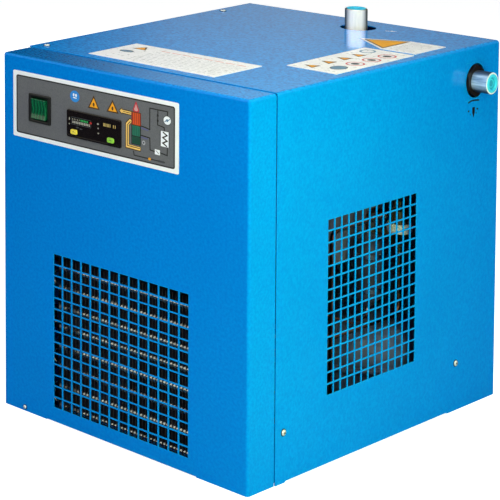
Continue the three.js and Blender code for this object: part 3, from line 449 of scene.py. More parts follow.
def bevel(obj, width, segments=2, degrees=40):
    """Rounds the sharp edges by `width` millimetres, and applies every modifier so far."""
    add_bevel(obj, width, segments, degrees, use_clamp_overlap=True)
    apply_modifiers(obj)
    return obj


def refined(node, material, edge=0.4):
    """Gives a CAD node that stays in view its finish, and fine rounded edges."""
    obj = frame["nodes"][node]
    obj.data.materials.clear()
    obj.data.materials.append(material)
    add_bevel(obj, edge, 2, 30)


def carve(obj, tool, edge=None, **settings):
    """Cuts the tool's shape out of the object. `edge` is the (width, segments) of its rounded edges."""
    modify(obj, "openings", "BOOLEAN", object=tool, solver="EXACT", **settings)
    if edge:
        bevel(obj, *edge)
    else:
        apply_modifiers(obj)
    bpy.data.objects.remove(tool)
    return obj


def loft(bm, rings, wrap=False):
    """Skins rings of points. The first and last ring are capped, or joined if `wrap` is set."""
    loops = [[bm.verts.new(p) for p in ring] for ring in rings]
    pairs = list(zip(loops, loops[1:]))
    if wrap:
        pairs.append((loops[-1], loops[0]))
    for first, second in pairs:
        add_band(bm, first, second)
    if not wrap:
        bm.faces.new(loops[0][::-1])
        bm.faces.new(loops[-1])


def add_band(bm, first, second):
    """Quads between two closed loops with the same number of points."""
    for i in range(len(first)):
        j = (i + 1) % len(first)
        bm.faces.new((first[i], first[j], second[j], second[i]))


def skinned(name, rings, material, wrap=False):
    bm = bmesh.new()
    loft(bm, rings, wrap)
    return object_from(bm, name, material)


def circle(radius, count):
    steps = (2 * math.pi * i / count for i in range(count))
    return [(radius * math.cos(a), radius * math.sin(a)) for a in steps]


def axis_point(axis, centre, a, b, along):
    """A point `along` an axis. `centre` and (a, b) are the two other coordinates, in x, y, z order."""
    point = [centre[0] + a, centre[1] + b]
    point.insert("xyz".index(axis), along)
    return Vector(point)


def add_turned(bm, axis, centre, profile, count=48, stretch=1.0):
    """A turned solid. The profile lists (radius, place along the axis); it may close on itself."""
    hollow = profile[0] == profile[-1]
    rings = []
    for radius, along in profile[:-1] if hollow else profile:
        ring = circle(max(radius, 1e-3), count)
        rings.append([axis_point(axis, centre, a, b * stretch, along) for a, b in ring])
    loft(bm, rings, hollow)


def turned(name, axis, centre, profile, material, nodes="", count=48, body="casing", slot=None):
    bm = bmesh.new()
    add_turned(bm, axis, centre, profile, count)
    return register(smooth(object_from(bm, name, material)), nodes, body, slot)


def rounded_corner(profile, index, radius, steps=4):
    """The profile with one of its corners rounded, by a curve between the two tangent points."""
    before, corner, after = (Vector(profile[i]) for i in (index - 1, index, (index + 1) % len(profile)))
    start = corner + (before - corner).normalized() * radius
    end = corner + (after - corner).normalized() * radius
    curve = []
    for i in range(steps + 1):
        t = i / steps
        curve.append(tuple(start * (1 - t) ** 2 + corner * 2 * t * (1 - t) + end * t * t))
    return profile[:index] + curve + profile[index + 1:]


def fillet_path(points, radius, steps=7):
    """Straight runs with round bends at the inner points."""
    points = [Vector(p) for p in points]
    path = [points[0]]
    for before, corner, after in zip(points, points[1:], points[2:]):
        into, out = (corner - before).normalized(), (after - corner).normalized()
        turn = into.angle(out)
        if turn < 0.02:
            continue
        setback = min(radius * math.tan(turn / 2), (corner - before).length / 2, (after - corner).length / 2)
        bend = setback / math.tan(turn / 2)
        side = (out - into * out.dot(into)).normalized()
        centre = corner - into * setback + side * bend
        axis = into.cross(out).normalized()
        arm = corner - into * setback - centre
        path += [centre + Matrix.Rotation(turn * i / steps, 3, axis) @ arm for i in range(steps + 1)]
    return path + [points[-1]]


def tube_object(name, path, radius, material, count, bore=None):
    """A round tube along a path, with its section carried along without twist."""
    path = [Vector(p) for p in path]
    last = len(path) - 1
    tangents = [(path[min(i + 1, last)] - path[max(i - 1, 0)]).normalized() for i in range(last + 1)]
    side = tangents[0].orthogonal().normalized()
    frames = []
    for point, tangent in zip(path, tangents):
        side = (side - tangent * side.dot(tangent)).normalized()
        frames.append((point, side, tangent.cross(side)))

    def rings(radius, frames):
        return [[point + u * a + v * b for a, b in circle(radius, count)] for point, u, v in frames]

    if bore is None:
        return skinned(name, rings(radius, frames), material)
    return skinned(name, rings(radius, frames) + rings(bore, frames[::-1]), material, True)


def tube(name, points, radius, bend, material, nodes, count=16):
    register(smooth(tube_object(name, fillet_path(points, bend), radius, material, count), 50), nodes)


def add_block(bm, low, high):
    corners = [Vector((x, y, z)) for z in (low[2], high[2])
               for x, y in ((low[0], low[1]), (high[0], low[1]), (high[0], high[1]), (low[0], high[1]))]
    loft(bm, [corners[:4], corners[4:]])


def blocks(name, spans, material, merge=0.0005):
    bm = bmesh.new()
    for low, high in spans:
        add_block(bm, low, high)
    return object_from(bm, name, material, merge)


def block(name, low, high, material, nodes="", edge=0.3, segments=2):
    return register(smooth(bevel(blocks(name, [(low, high)], material), edge, segments)), nodes)


def rounded_rectangle(centre, width, height, radius, steps=5):
    points = []
    for quarter, (i, j) in enumerate(((1, 1), (-1, 1), (-1, -1), (1, -1))):
        cu = centre[0] + i * (width / 2 - radius)
        cv = centre[1] + j * (height / 2 - radius)
        for k in range(steps + 1):
            angle = HALF_PI * (quarter + k / steps)
            points.append((cu + radius * math.cos(angle), cv + radius * math.sin(angle)))
    return points


# ---- folded sheets ------------------------------------------------------------------------------
def unroll(distance, flat):
    """(flat part, angle round the bend, length past the bend) at a distance along a folded sheet."""
    over = max(0.0, distance - flat)
    return min(distance, flat), min(over / BEND, HALF_PI), max(0.0, over - BEND_ARC)


def fold_lines(flat, past, steps=6):
    """The lines of a bend that starts at `flat`, and the sheet's end `past` the bend."""
    return [flat + BEND_ARC * i / steps for i in range(steps + 1)] + [flat + BEND_ARC + past]


def grille_openings(grille):
    """(u0, u1, v0, v1) of every opening, column by column."""
    half = GRILLE_HOLE / 2
    found = []
    for i in range(grille["columns"]):
        for j in range(grille["rows"]):
            u = grille["middle"][0] + (i - (grille["columns"] - 1) / 2) * GRILLE_PITCH
            v = grille["middle"][1] + (j - (grille["rows"] - 1) / 2) * GRILLE_PITCH
            found.append((u - half, u + half, v - half, v + half))
    return found


def unique(values):
    kept = []
    for value in sorted(values):
        if not kept or value - kept[-1] > 0.01:
            kept.append(value)
    return kept


class FoldedSheet:
    """A sheet drawn flat, as a grid of cells with openings, and folded by a function of (u, v)."""

    def __init__(self, fold, u, v, flip=False, left_out=None):
        self.fold, self.flip, self.left_out = fold, flip, left_out
        self.u_lines, self.v_lines, self.openings, self.circles = list(u), list(v), [], []

    def cut_rectangles(self, rectangles):
        self.openings += rectangles
        for u0, u1, v0, v1 in rectangles:
            self.u_lines += [u0, u1]
            self.v_lines += [v0, v1]

    def cut_circle(self, u, v, radius, margin=2.0, count=48):
        reach = radius + margin
        self.circles.append((u, v, radius, reach, count))
        self.u_lines += [u - reach, u + reach]
        self.v_lines += [v - reach, v + reach]

    def cut_screws(self, spots, margin=1.6):
        for u, v in spots:
            self.cut_circle(u, v, SCREW_HOLE, margin, 16)

    def is_open(self, u, v):
        if self.left_out and self.left_out(u, v):
            return True
        if any(u0 < u < u1 and v0 < v < v1 for u0, u1, v0, v1 in self.openings):
            return True
        return any(abs(u - cu) < reach and abs(v - cv) < reach for cu, cv, _, reach, _ in self.circles)

    def build(self, name, material, nodes="", edge=SHEET_EDGE, body="casing"):
        bm = bmesh.new()
        us, vs = unique(self.u_lines), unique(self.v_lines)
        grid = {(i, j): bm.verts.new(self.fold(u, v)) for i, u in enumerate(us) for j, v in enumerate(vs)}
        for i in range(len(us) - 1):
            for j in range(len(vs) - 1):
                if not self.is_open((us[i] + us[i + 1]) / 2, (vs[j] + vs[j + 1]) / 2):
                    self.add_face(bm, [grid[i, j], grid[i + 1, j], grid[i + 1, j + 1], grid[i, j + 1]])
        for cut in self.circles:
            self.add_circle(bm, *cut)
        bmesh.ops.remove_doubles(bm, verts=bm.verts, dist=0.002)
        bmesh.ops.delete(bm, geom=[v for v in bm.verts if not v.link_faces], context="VERTS")
        obj = object_from(bm, name, material, closed=False)
        modify(obj, "thickness", "SOLIDIFY", thickness=SHEET * MM, offset=-1, use_even_offset=True)
        register(smooth(bevel(obj, edge, 2, 50), 44), nodes, body)

    def add_face(self, bm, vertices):
        bm.faces.new(vertices[::-1] if self.flip else vertices)

    def add_circle(self, bm, u, v, radius, reach, count):
        """Four faces between a square cell and the round hole in it."""
        quarter = count // 4
        diagonal = reach * math.sqrt(2)
        for side in range(4):
            start = -3 * math.pi / 4 + side * HALF_PI
            turns = [(diagonal, start), (diagonal, start + HALF_PI)]
            turns += [(radius, start + HALF_PI * k / quarter) for k in range(quarter, -1, -1)]
            points = [(u + r * math.cos(a), v + r * math.sin(a)) for r, a in turns]
            self.add_face(bm, [bm.verts.new(self.fold(*p)) for p in points])


def build_front_cover():
    """The tray: its face folds back over the top and over both sides, with round corners."""
    half_flat = TRAY_HIGH.x - BEND
    top_flat = TRAY_HIGH.z - BEND
    flange = TRAY_HIGH.y - FRONT - BEND
    foot = TRAY_HIGH.x - FOOT_LENGTH

    def fold(u, v):
        flat_u, a, past_u = unroll(abs(u), half_flat)
        flat_v, b, past_v = unroll(v, top_flat)
        side = math.copysign(1.0, u)
        centre = Vector((side * flat_u, FRONT + BEND + past_u + past_v, flat_v))
        direction = (side * math.sin(a) * math.cos(b), -math.cos(a) * math.cos(b), math.sin(b))
        return centre + BEND * Vector(direction)

    def left_out(u, v):
        between_feet = abs(u) < foot and v < FOOT_RISE
        corner = abs(u) > half_flat and v > top_flat + BEND_ARC
        return between_feet or corner

    right = fold_lines(half_flat, flange) + [foot]
    up = [0, FOOT_RISE] + fold_lines(top_flat, flange)
    sheet = FoldedSheet(fold, [-u for u in right] + right, up, left_out=left_out)
    sheet.cut_rectangles(grille_openings(FRONT_GRILLE))
    for node, border in (("switch_body", 2), ("controller_body", 3)):
        low, high = box(node)
        sheet.cut_rectangles([(low.x + border, high.x - border, low.z + border, high.z - border)])
    screw = middle("front_screw")
    sheet.cut_screws([(screw.x, screw.z)], 1.2)
    sheet.build("front_cover_shell", TRAY_BLUE, "front_cover", body=COVER_SET)


def build_main_cover():
    """One sheet, folded once: the top, then the right side, with a narrow inward flange at the back."""
    flat = COVER_HIGH.x - COVER_LOW.x - BEND
    drop = TOP - BEND
    foot_start, foot_end = COVER_LOW.y + 19, BACK - 104

    def fold(u, v):
        along, a, past = unroll(v, flat)
        return Vector((COVER_LOW.x + along + BEND * math.sin(a), u, drop + BEND * math.cos(a) - past))

    def on_side(z):
        return flat + BEND_ARC + drop - z

    u_lines = (COVER_LOW.y, BACK, foot_start, foot_end)
    v_lines = [0] + fold_lines(flat, drop) + [on_side(FOOT_RISE)]
    sheet = FoldedSheet(fold, u_lines, v_lines, True,
                        lambda u, v: foot_start < u < foot_end and v > on_side(FOOT_RISE))
    sheet.cut_rectangles([
        (u0, u1, on_side(v1), on_side(v0)) for u0, u1, v0, v1 in grille_openings(SIDE_GRILLE)])
    sheet.cut_screws([(spot.y, spot.x - COVER_LOW.x) for spot in pair("top_screw")])
    sheet.cut_screws([(spot.y, on_side(spot.z)) for spot in pair("side_screw")])
    inlet, outlet = middle("air_inlet_pipe"), middle("outlet_plug")
    sheet.cut_circle(inlet.y + 3, inlet.x + 1 - COVER_LOW.x, PIPE_HOLE)
    sheet.cut_circle(outlet.y + 1.5, on_side(outlet.z), PIPE_HOLE)
    sheet.build("main_cover_shell", BLUE, "main_cover")
    inside = SIDE - SHEET
    block("main_cover_flange", (inside - 20, BACK_FLANGE_Y, FLANGE_FOOT),
          (inside, BACK_FLANGE_Y + SHEET, TOP - 6.5), BLUE)


def build_left_panel():
    """The left side, with a flange under the top sheet and a narrow one at the back."""
    low, high = box("left_panel")
    flat = high.z - BEND - low.z
    notch = high.y - 20

    def fold(u, v):
        along, a, past = unroll(v, flat)
        return Vector((low.x + BEND - BEND * math.cos(a) + past, u, low.z + along + BEND * math.sin(a)))

    sheet = FoldedSheet(fold, (low.y, high.y, notch), [0] + fold_lines(flat, 20), True,
                        lambda u, v: u > notch and v > flat + BEND_ARC)
    sheet.cut_screws([(spot.y, flat + BEND_ARC + spot.x - low.x - BEND) for spot in pair("top_screw")])
    sheet.build("left_panel_shell", BLUE, "left_panel")
    for name, depth, y in (("flange", 20, BACK_FLANGE_Y), ("front_flange", 12, low.y)):
        block(f"left_panel_{name}", (low.x + 0.5, y, FLANGE_FOOT), (low.x + depth, y + SHEET, high.z - 5),
              BLUE)


def build_rear_panel():
    """The back plate: louvre slots, the drain's hole and the power inlet's cut-out, flanged at its top."""
    low, high = box("rear_panel")
    flat = high.z - BEND - low.z
    notch = high.x - 30

    def fold(u, v):
        along, a, past = unroll(v, flat)
        return Vector((u, high.y - BEND + BEND * math.cos(a) - past, low.z + along + BEND * math.sin(a)))

    sheet = FoldedSheet(fold, (low.x, high.x, low.x + 30, notch), [0] + fold_lines(flat, 9), True,
                        lambda u, v: abs(u) > notch and v > flat + BEND_ARC * 0.99)
    sheet.cut_rectangles([(-60, 60, 110 + 14 * i - low.z, 115 + 14 * i - low.z) for i in range(6)])
    inlet, drain = middle("power_inlet"), middle("drain_outlet")
    sheet.cut_rectangles([(inlet.x - 14, inlet.x + 14, inlet.z - 10.5 - low.z, inlet.z + 10.5 - low.z)])
    sheet.cut_circle(drain.x, drain.z - low.z, 8, count=32)
    sheet.cut_screws([(spot.x, spot.z - low.z) for spot in pair("rear_screw")])
    sheet.build("rear_panel_shell", BLUE, "rear_panel")


# ---- fasteners ----------------------------------------------------------------------------------
HEAD_HEIGHT = 2.1
HEAD_RADIUS = 3.5
SEAT_HEIGHT = 0.4
FRONT_SCREW_GIRTH = 0.65
FACING = {"front": Vector((0, -1, 0)), "top": Vector((0, 0, 1)), "side": Vector((1, 0, 0)),
          "rear": Vector((0, 1, 0))}


def screw_mesh():
    """A pan head on a dark ring of painted shadow, a cross recess dark with painted shade, and a plain
    shank, upright at the origin.
    """
    bm = bmesh.new()
    head = [(0, HEAD_HEIGHT), (1.2, 2.05), (2.3, 1.75), (3.1, 1.2), (HEAD_RADIUS, 0.6),
            (HEAD_RADIUS, SEAT_HEIGHT), (4.4, SEAT_HEIGHT), (4.4, 0), (1.75, 0), (1.75, -6.2), (1.2, -6.9),
            (0, -6.9)]
    add_turned(bm, "z", (0, 0), head, 40)
    screw = object_from(bm, "screw_blank", SCREW_ZINC)
    cross = [((-2.2, -0.5, 0.75), (2.2, 0.5, 3)), ((-0.5, -2.2, 0.75), (0.5, 2.2, 3))]
    # The recess is cut in the dark ink: painted shade in the cross.
    recess = blocks("screw_recess", cross, PRINT["stamp_and_shade"], merge=0)
    carve(screw, recess, (0.08, 1), operation="DIFFERENCE", use_self=True, material_mode="TRANSFER")
    mesh = screw.data
    # The ring under the head's rim takes the dark ink: painted shadow round the head.
    for face in mesh.polygons:
        if face.center.z < (SEAT_HEIGHT + 0.1) * MM and face.center.xy.length > (HEAD_RADIUS - 0.05) * MM:
            face.material_index = 1
    bpy.data.objects.remove(screw)
    mesh.shade_smooth()
    mesh.set_sharp_from_angle(angle=math.radians(35))
    return mesh


def build_screws():
    mesh = screw_mesh()
    names = ["front_screw"] + [f"{face}_screw_{i}" for face in ("top", "side", "rear") for i in (1, 2)]
    for index, name in enumerate(names):
        direction = FACING[name.split("_")[0]]
        low, high = box(name)
        extent = abs((high - low).dot(direction)) / 2
        seat = middle(name) + direction * (extent - HEAD_HEIGHT)
        turn = direction.to_track_quat("Z", "Y").to_matrix().to_4x4()
        girth = FRONT_SCREW_GIRTH if name == "front_screw" else 1.0
        shape = Matrix.Rotation(0.5 + 1.3 * index, 4, "Z") @ Matrix.Diagonal((girth, girth, 1.0, 1.0))
        obj = bpy.data.objects.new(f"{name}_head", mesh.copy())
        bpy.context.scene.collection.objects.link(obj)
        obj.data.transform(Matrix.Translation(seat * MM) @ turn @ shape)
        register(obj, name, BODY_OF[name])


# ---- flat prints --------------------------------------------------------------------------------
def laid(plane, outline, level):
    """The points of a flat outline, on one plane of the casing."""
    return [
        axis_point({"front": "y", "top": "z", "side": "x"}[plane], (0, 0), u, v, level) for u, v in outline]


def stroke(points, width):
    """A mitred outline round a polyline."""
    points = [Vector(p) for p in points]
    lefts, rights = [], []
    for i, p in enumerate(points):
        into = (p - points[i - 1]).normalized() if i else (points[1] - p).normalized()
        out = (points[i + 1] - p).normalized() if i < len(points) - 1 else into
        tangent = (into + out).normalized()
        normal = Vector((-tangent.y, tangent.x))
        reach = width / 2 / max(0.3, normal.dot(Vector((-into.y, into.x))))
        lefts.append(p + normal * reach)
        rights.append(p - normal * reach)
    return [tuple(p) for p in lefts + rights[::-1]]


def rectangle(u0, u1, v0, v1):
    return [(u0, v0), (u1, v0), (u1, v1), (u0, v1)]


def bars(count, start, pitch, width, v0, v1):
    """Upright bars side by side."""
    return [rectangle(start + pitch * i, start + width + pitch * i, v0, v1) for i in range(count)]


def ellipse(u, v, ru, rv, count=40):
    return [(u + ru * a, v + rv * b) for a, b in circle(1.0, count)]


def ellipse_ring(u, v, ru, rv, line_u, line_v):
    return ellipse(u, v, ru, rv), ellipse(u, v, ru - line_u, rv - line_v)


def outline_ring(outline, centre, share):
    """The outline and the same outline drawn smaller about its centre, as a ring."""
    c = Vector(centre)
    return outline, [tuple(c + (Vector(p) - c) * share) for p in outline]


def printed(name, plane, level, shapes, material, height, slot, body="casing", nodes=""):
    """Thin ink: each shape is an outline, or a pair of outlines for a ring. It stands `height` proud."""
    bm = bmesh.new()
    for shape in shapes:
        outlines = shape if isinstance(shape, tuple) else (shape,)
        loops = [[bm.verts.new(p) for p in laid(plane, outline, level)] for outline in outlines]
        if len(loops) == 2:
            add_band(bm, *loops)
        else:
            bm.faces.new(loops[0])
    grown = bmesh.ops.extrude_face_region(bm, geom=list(bm.faces))
    moved = [v for v in grown["geom"] if isinstance(v, bmesh.types.BMVert)]
    bmesh.ops.translate(bm, vec=FACING[plane] * height, verts=moved)
    register(smooth(object_from(bm, name, material, merge=0)), nodes, body, slot)


# ---- control panel ------------------------------------------------------------------------------
PANEL_BORDER = 5.0
FRAME_LINE = 1.5
INK = 0.03
CONTROLS = ("switch_body", "controller_body")


def control_openings(name, material, borders, near, far):
    """The blocks that the switch and the controller take out of the overlay."""
    spans = []
    for node, border in zip(CONTROLS, borders):
        low, high = box(node)
        spans.append(((low.x + border, near, low.z + border), (high.x - border, far, high.z - border)))
    return blocks(name, spans, material)


def build_control_label():
    """A white overlay with round corners, its grey field, and the openings for the switch and controller."""
    low, high = box("control_label")
    face = low.y
    centre, width, height = seen("control_label")
    plate = rounded_rectangle(centre, width, height, 2.0)
    overlay = skinned("control_overlay", [laid("front", plate, y) for y in (high.y, face)], LABEL_WHITE)
    tool = control_openings("overlay_cutter", LABEL_WHITE, (2, 3.5), face - 1, high.y + 1)
    register(smooth(carve(overlay, tool, (0.12, 2))), "control_label", COVER_SET)

    width, height = width - 2 * PANEL_BORDER, height - 2 * PANEL_BORDER
    field = rounded_rectangle(centre, width, height, 2.8)
    grey = skinned("overlay_grey_field", [laid("front", field, y) for y in (face, face - 2 * INK)], OVERLAY)
    tool = control_openings("field_cutter", OVERLAY, (4, 4), face - 1, face + 1)
    register(smooth(carve(grey, tool)), body=COVER_SET)

    width, height = width - 0.2, height - 0.2
    inner = rounded_rectangle(centre, width - 2 * FRAME_LINE, height - 2 * FRAME_LINE, 2.8 - FRAME_LINE)
    line = (rounded_rectangle(centre, width, height, 2.8), inner)
    printed("overlay_frame_line", "front", face - 2 * INK, [line], PRINT["black"], INK, "label_grey",
            COVER_SET)


BADGE = (-63.1, 412.0)
PUMP = (67.6, 406.8)
WARNINGS = (((-35.3, 418.0), (-44.0, 401.8), (-26.6, 401.8)), ((-8.2, 417.6), (-16.9, 402.2), (0.5, 402.2)))
OUTLET_ARROW = [(24.8, 422.0), (20.4, 411.0), (22.2, 408.4), (27.8, 408.4), (29.4, 411.0)]


def around(centre, du, dv, ru, rv, count=20):
    return ellipse(centre[0] + du, centre[1] + dv, ru, rv, count)


def panel_marks():
    """(name, ink, layer, shapes) of the overlay's badge and two plain triangles."""
    u, v = BADGE
    yield "badge_disc", "blue", 0, [around(BADGE, 0, 0, 7.0, 7.0, 40)]
    yield "badge_marks", "white", 1, [stroke([(u - 2.6, v - 1.6), (u + 2.8, v - 1.9)], 1.2),
                                      around(BADGE, -1.7, 1.7, 1.2, 1.9), around(BADGE, 1.9, 1.4, 1.2, 1.9)]
    for index, outline in enumerate(WARNINGS):
        centre = tuple(sum(p[k] for p in outline) / 3 for k in (0, 1))
        ring = outline_ring(outline, centre, 0.7)
        yield f"triangle_edge_{index}", "umber", 0, [ring]
        yield f"triangle_field_{index}", "amber", 0, [ring[1]]
        yield f"triangle_dot_{index}", "umber", 1, [around(centre, 0, -0.2, 1.3, 2.4)]


def flow_marks():
    """(name, ink, layer, shapes) of the plain flow diagram of the dryer."""
    arrow = outline_ring(OUTLET_ARROW, (24.9, 413.0), 0.62)
    yield "flow_outlet_edge", "crimson", 0, [arrow]
    yield "flow_outlet_arrow", "rose", 0, [arrow[1]]
    yield "flow_hot_block", "orange", 0, [rectangle(18.4, 31.4, 393.6, 408.6)]
    yield "flow_hot_ribs", "brown", 1, bars(5, 20.0, 2.6, 0.7, 394.6, 407.6) + [
        rectangle(18.4, 20.0, 393.6, 408.6), rectangle(30.6, 31.8, 393.6, 408.6)]
    yield "flow_hot_edge", "umber", 2, [rectangle(18.2, 31.6, 407.9, 408.9),
                                        rectangle(18.2, 31.6, 392.7, 393.9)]
    yield "flow_cold_block", "green", 0, [rectangle(19.0, 31.2, 371.0, 392.7)]
    yield "flow_cold_base", "pine", 1, [rectangle(19.8, 30.4, 371.8, 379.4)]
    yield "flow_cold_ribs", "pine", 1, bars(5, 20.4, 2.5, 0.6, 381.2, 391.4)
    yield "flow_cold_edge", "black", 2, [
        rectangle(18.4, 31.8, 379.6, 380.8), rectangle(18.4, 19.4, 371.0, 392.7),
        rectangle(30.7, 31.7, 371.0, 392.7), rectangle(18.4, 31.8, 370.4, 371.5)]
    yield "flow_duct_edge", "umber", 0, [
        stroke([(4.4, 406.6), (18.2, 406.2)], 5.6),
        stroke([(18.4, 399.0), (12.9, 393.0), (12.9, 366.6), (31.6, 366.2)], 5.8),
        [(0.2, 406.7), (5.4, 411.2), (5.4, 402.2)]]
    yield "flow_duct", "gold", 1, [
        stroke([(5.0, 406.6), (18.2, 406.2)], 3.4),
        stroke([(18.0, 398.2), (12.9, 392.6), (12.9, 367.0), (31.0, 366.4)], 3.9),
        [(1.8, 406.7), (5.2, 409.6), (5.2, 403.8)]]
    yield "flow_duct_core", "umber", 2, [
        stroke([(17.2, 396.6), (12.9, 392.0), (12.9, 367.4), (30.4, 366.8)], 0.9),
        stroke([(7.0, 406.5), (17.6, 406.2)], 0.8)]
    yield "flow_hot_line", "black", 0, [
        stroke([(31.4, 393.8), (37.5, 393.2), (43.9, 391.9), (43.9, 417.0), (68.3, 417.0), (67.6, 411.6)],
               1.3),
        stroke([(55.0, 417.0), (54.6, 399.4), (63.6, 397.9), (63.6, 393.4)], 1.3)]
    yield "flow_cold_line", "black", 0, [
        stroke([(31.4, 383.0), (44.0, 382.0), (44.4, 368.2), (51.0, 367.4)], 1.3),
        stroke([(57.8, 367.6), (67.8, 366.0), (67.8, 376.0)], 1.3)]
    yield "flow_suction_line", "violet", 1, [
        stroke([(31.4, 391.9), (42.0, 390.4)], 1.2), stroke([(31.4, 380.9), (41.2, 380.2)], 1.2)]
    yield "flow_drain_line", "black", 1, [
        stroke([(21.5, 362.4), (22.4, 357.6), (64.6, 357.4)], 1.2),
        ellipse(54.8, 410.4, 1.3, 1.8, 20), ellipse(54.8, 404.2, 1.3, 1.8, 20)]
    yield "flow_drain_dot", "yellow", 2, [ellipse(43.7, 357.4, 2.0, 1.6, 24)]
    yield "flow_drain_valve", "slate", 2, [rectangle(55.6, 63.8, 356.2, 358.6)]

    u, v = PUMP
    yield "flow_pump_disc", "white", 0, [around(PUMP, 0, 0, 5.6, 5.6, 40)]
    yield "flow_pump_ring", "slate", 1, [ellipse_ring(u, v, 5.6, 5.6, 0.7, 0.7)]
    yield "flow_pump_hub", "slate_blue", 1, [around(PUMP, 0, 0, 1.6, 1.6, 24)]
    yield "flow_pump_blade", "slate_blue", 1, [
        stroke([(u - 3.6, v - 2.2), (u - 1.4, v - 0.2)], 1.0),
        stroke([(u + 1.4, v + 0.4), (u + 3.6, v + 2.2)], 1.0)]
    yield "flow_coil_plate", "white", 0, [rectangle(58.6, 70.2, 375.6, 393.4)]
    zigzag = [(64.4 + (3.0 if i % 2 else -2.6), 392.4 - 3.2 * i) for i in range(6)]
    yield "flow_coil_line", "black", 1, [stroke(zigzag, 1.6)]
    yield "flow_coil_edge", "slate", 1, bars(2, 57.9, 11.7, 1.1, 375.6, 393.4)
    yield "flow_valve_plate", "white", 0, [rectangle(50.9, 57.9, 364.4, 370.4)]
    yield "flow_valve_cross", "slate", 1, [stroke([(52.2, 369.2), (56.6, 365.6)], 0.6)]
    yield "flow_sensor", "faint", 0, [ellipse(35.6, 374.8, 2.2, 2.6, 24)]
    yield "flow_sensor_hub", "slate", 1, [ellipse(35.6, 374.8, 1.0, 1.2, 20)]


def build_panel_art():
    level = box("control_label")[0].y - 2 * INK
    for name, ink, layer, shapes in (*panel_marks(), *flow_marks()):
        printed(name, "front", level - layer * INK, shapes, PRINT[ink], 0.02 if layer else INK,
                "label_grey", COVER_SET)


def bezel_rings(node, sections):
    """Rounded outlines (narrower by, lower by, corner radius, y), round a node's middle."""
    centre, width, height = seen(node)
    return [laid("front", rounded_rectangle(centre, width - dw, height - dh, radius), y)
            for dw, dh, radius, y in sections]


def build_switch():
    """A snap-in bezel with a deep well, and the green rocker in it."""
    low, high = box("switch_body")
    rocker_low, rocker_high = box("switch_rocker")
    face, seat = low.y, box("control_label")[0].y - 0.15
    well_w = (high.x - low.x) - (rocker_high.x - rocker_low.x + 1.2)
    well_h = (high.z - low.z) - (rocker_high.z - rocker_low.z + 2.0)
    rings = bezel_rings("switch_body", (
        (5.4, 5.4, 1.0, high.y), (5.4, 5.4, 1.0, seat), (0, 0, 1.5, seat), (0, 0, 1.5, face + 0.7),
        (0.6, 0.6, 1.4, face + 0.2), (1.6, 1.6, 1.3, face), (well_w - 2.6, well_h - 2.6, 1.6, face),
        (well_w - 1.4, well_h - 1.6, 1.4, face + 0.5), (well_w, well_h, 1.0, face + 1.6),
        (well_w, well_h, 1.0, FRONT + 8)))
    register(smooth(skinned("switch_bezel", rings, BLACK), 50), "switch_body", COVER_SET)

    half = (rocker_high.z - rocker_low.z) / 2
    z = (rocker_high.z + rocker_low.z) / 2
    steps = 16
    profile = []
    for i in range(steps + 1):
        t = -1 + 2 * i / steps
        profile.append((rocker_low.y + 1.6 * (1 - t * t), z + t * (half - 0.2)))
    profile += [(FRONT + 2, z + half - 1.0), (FRONT + 5.6, z + 5), (FRONT + 5.6, z - 5),
                (FRONT + 2, z - half + 1.0)]
    rings = [[Vector((x, y, w)) for y, w in profile] for x in (rocker_low.x, rocker_high.x)]
    rocker = bevel(skinned("green_rocker", rings, GREEN_LAMP), 0.7, 3, 35)
    register(smooth(rocker, 50), "switch_rocker", "rocker")


def build_controller():
    """The controller's bezel and glossy window, with a well for each button."""
    low, high = box("controller_body")
    face, seat = low.y, box("control_label")[0].y - 0.15
    case = skinned("controller_case", bezel_rings("controller_body", (
        (9, 8, 1.5, high.y), (9, 8, 1.5, seat), (0, 0, 2.0, seat), (0, 0, 2.0, face + 0.8),
        (0.5, 0.5, 1.9, face + 0.25), (1.3, 1.3, 1.7, face), (4.6, 4.6, 1.6, face),
        (5.0, 5.0, 1.5, face + 0.25))), CONTROLLER_FACE)
    wells = bmesh.new()
    for side in ("left", "right"):
        rings = bezel_rings(f"controller_button_{side}",
                            ((-0.7, -0.7, 2.3, face - 2), (-0.7, -0.7, 2.3, FRONT + 3.5)))
        loft(wells, rings)
    carve(case, object_from(wells, "button_wells", BLACK))
    register(smooth(case, 45), "controller_body", COVER_SET)


def window_marks():
    """(name, lamp or ink, shapes) of the controller's display, round the middle of its window."""
    window = (rounded_rectangle((-17.6, 4.1), 29, 9.4, 1.0), rounded_rectangle((-17.6, 4.1), 28, 8.4, 0.8))
    yield "display_window", "slate", [window]
    yield "display_scale", "led_pale", bars(11, -30.6, 2.42, 1.7, 1.0, 4.0)
    yield "display_ticks", "led_pale", bars(5, -30.6, 2.42, 0.7, 5.0, 6.9)
    yield "display_green", "led_green", bars(5, -18.4, 2.3, 1.5, 4.8, 7.2)
    yield "display_red", "led_red", [ellipse(-3.6, 5.6, 1.5, 1.4, 20)]
    yield "display_signs", "led_pale", [ellipse(-35.0, 5.6, 0.8, 1.8, 20),
                                        ellipse(-35.2, -0.6, 0.9, 0.8, 20)]
    yield "display_arrows", "slate", [ellipse(-23.2, -3.4, 2.1, 0.8, 20), ellipse(-18.0, -4.2, 2.1, 0.8, 20)]
    yield "status_lamps", "led_pale", [ellipse(6.9, 6.6, 1.5, 1.1, 20), ellipse(7.2, 1.4, 0.9, 0.9, 20),
                                       ellipse(7.3, -4.6, 0.9, 0.9, 20)]
    spans = ((14.6, 16.8), (17.8, 19.2), (20.2, 22.6), (23.6, 24.8), (28.6, 29.6), (31.2, 32.2))
    yield "status_bars", "led_gold", [rectangle(u0, u1, 5.6, 9.4) for u0, u1 in spans]


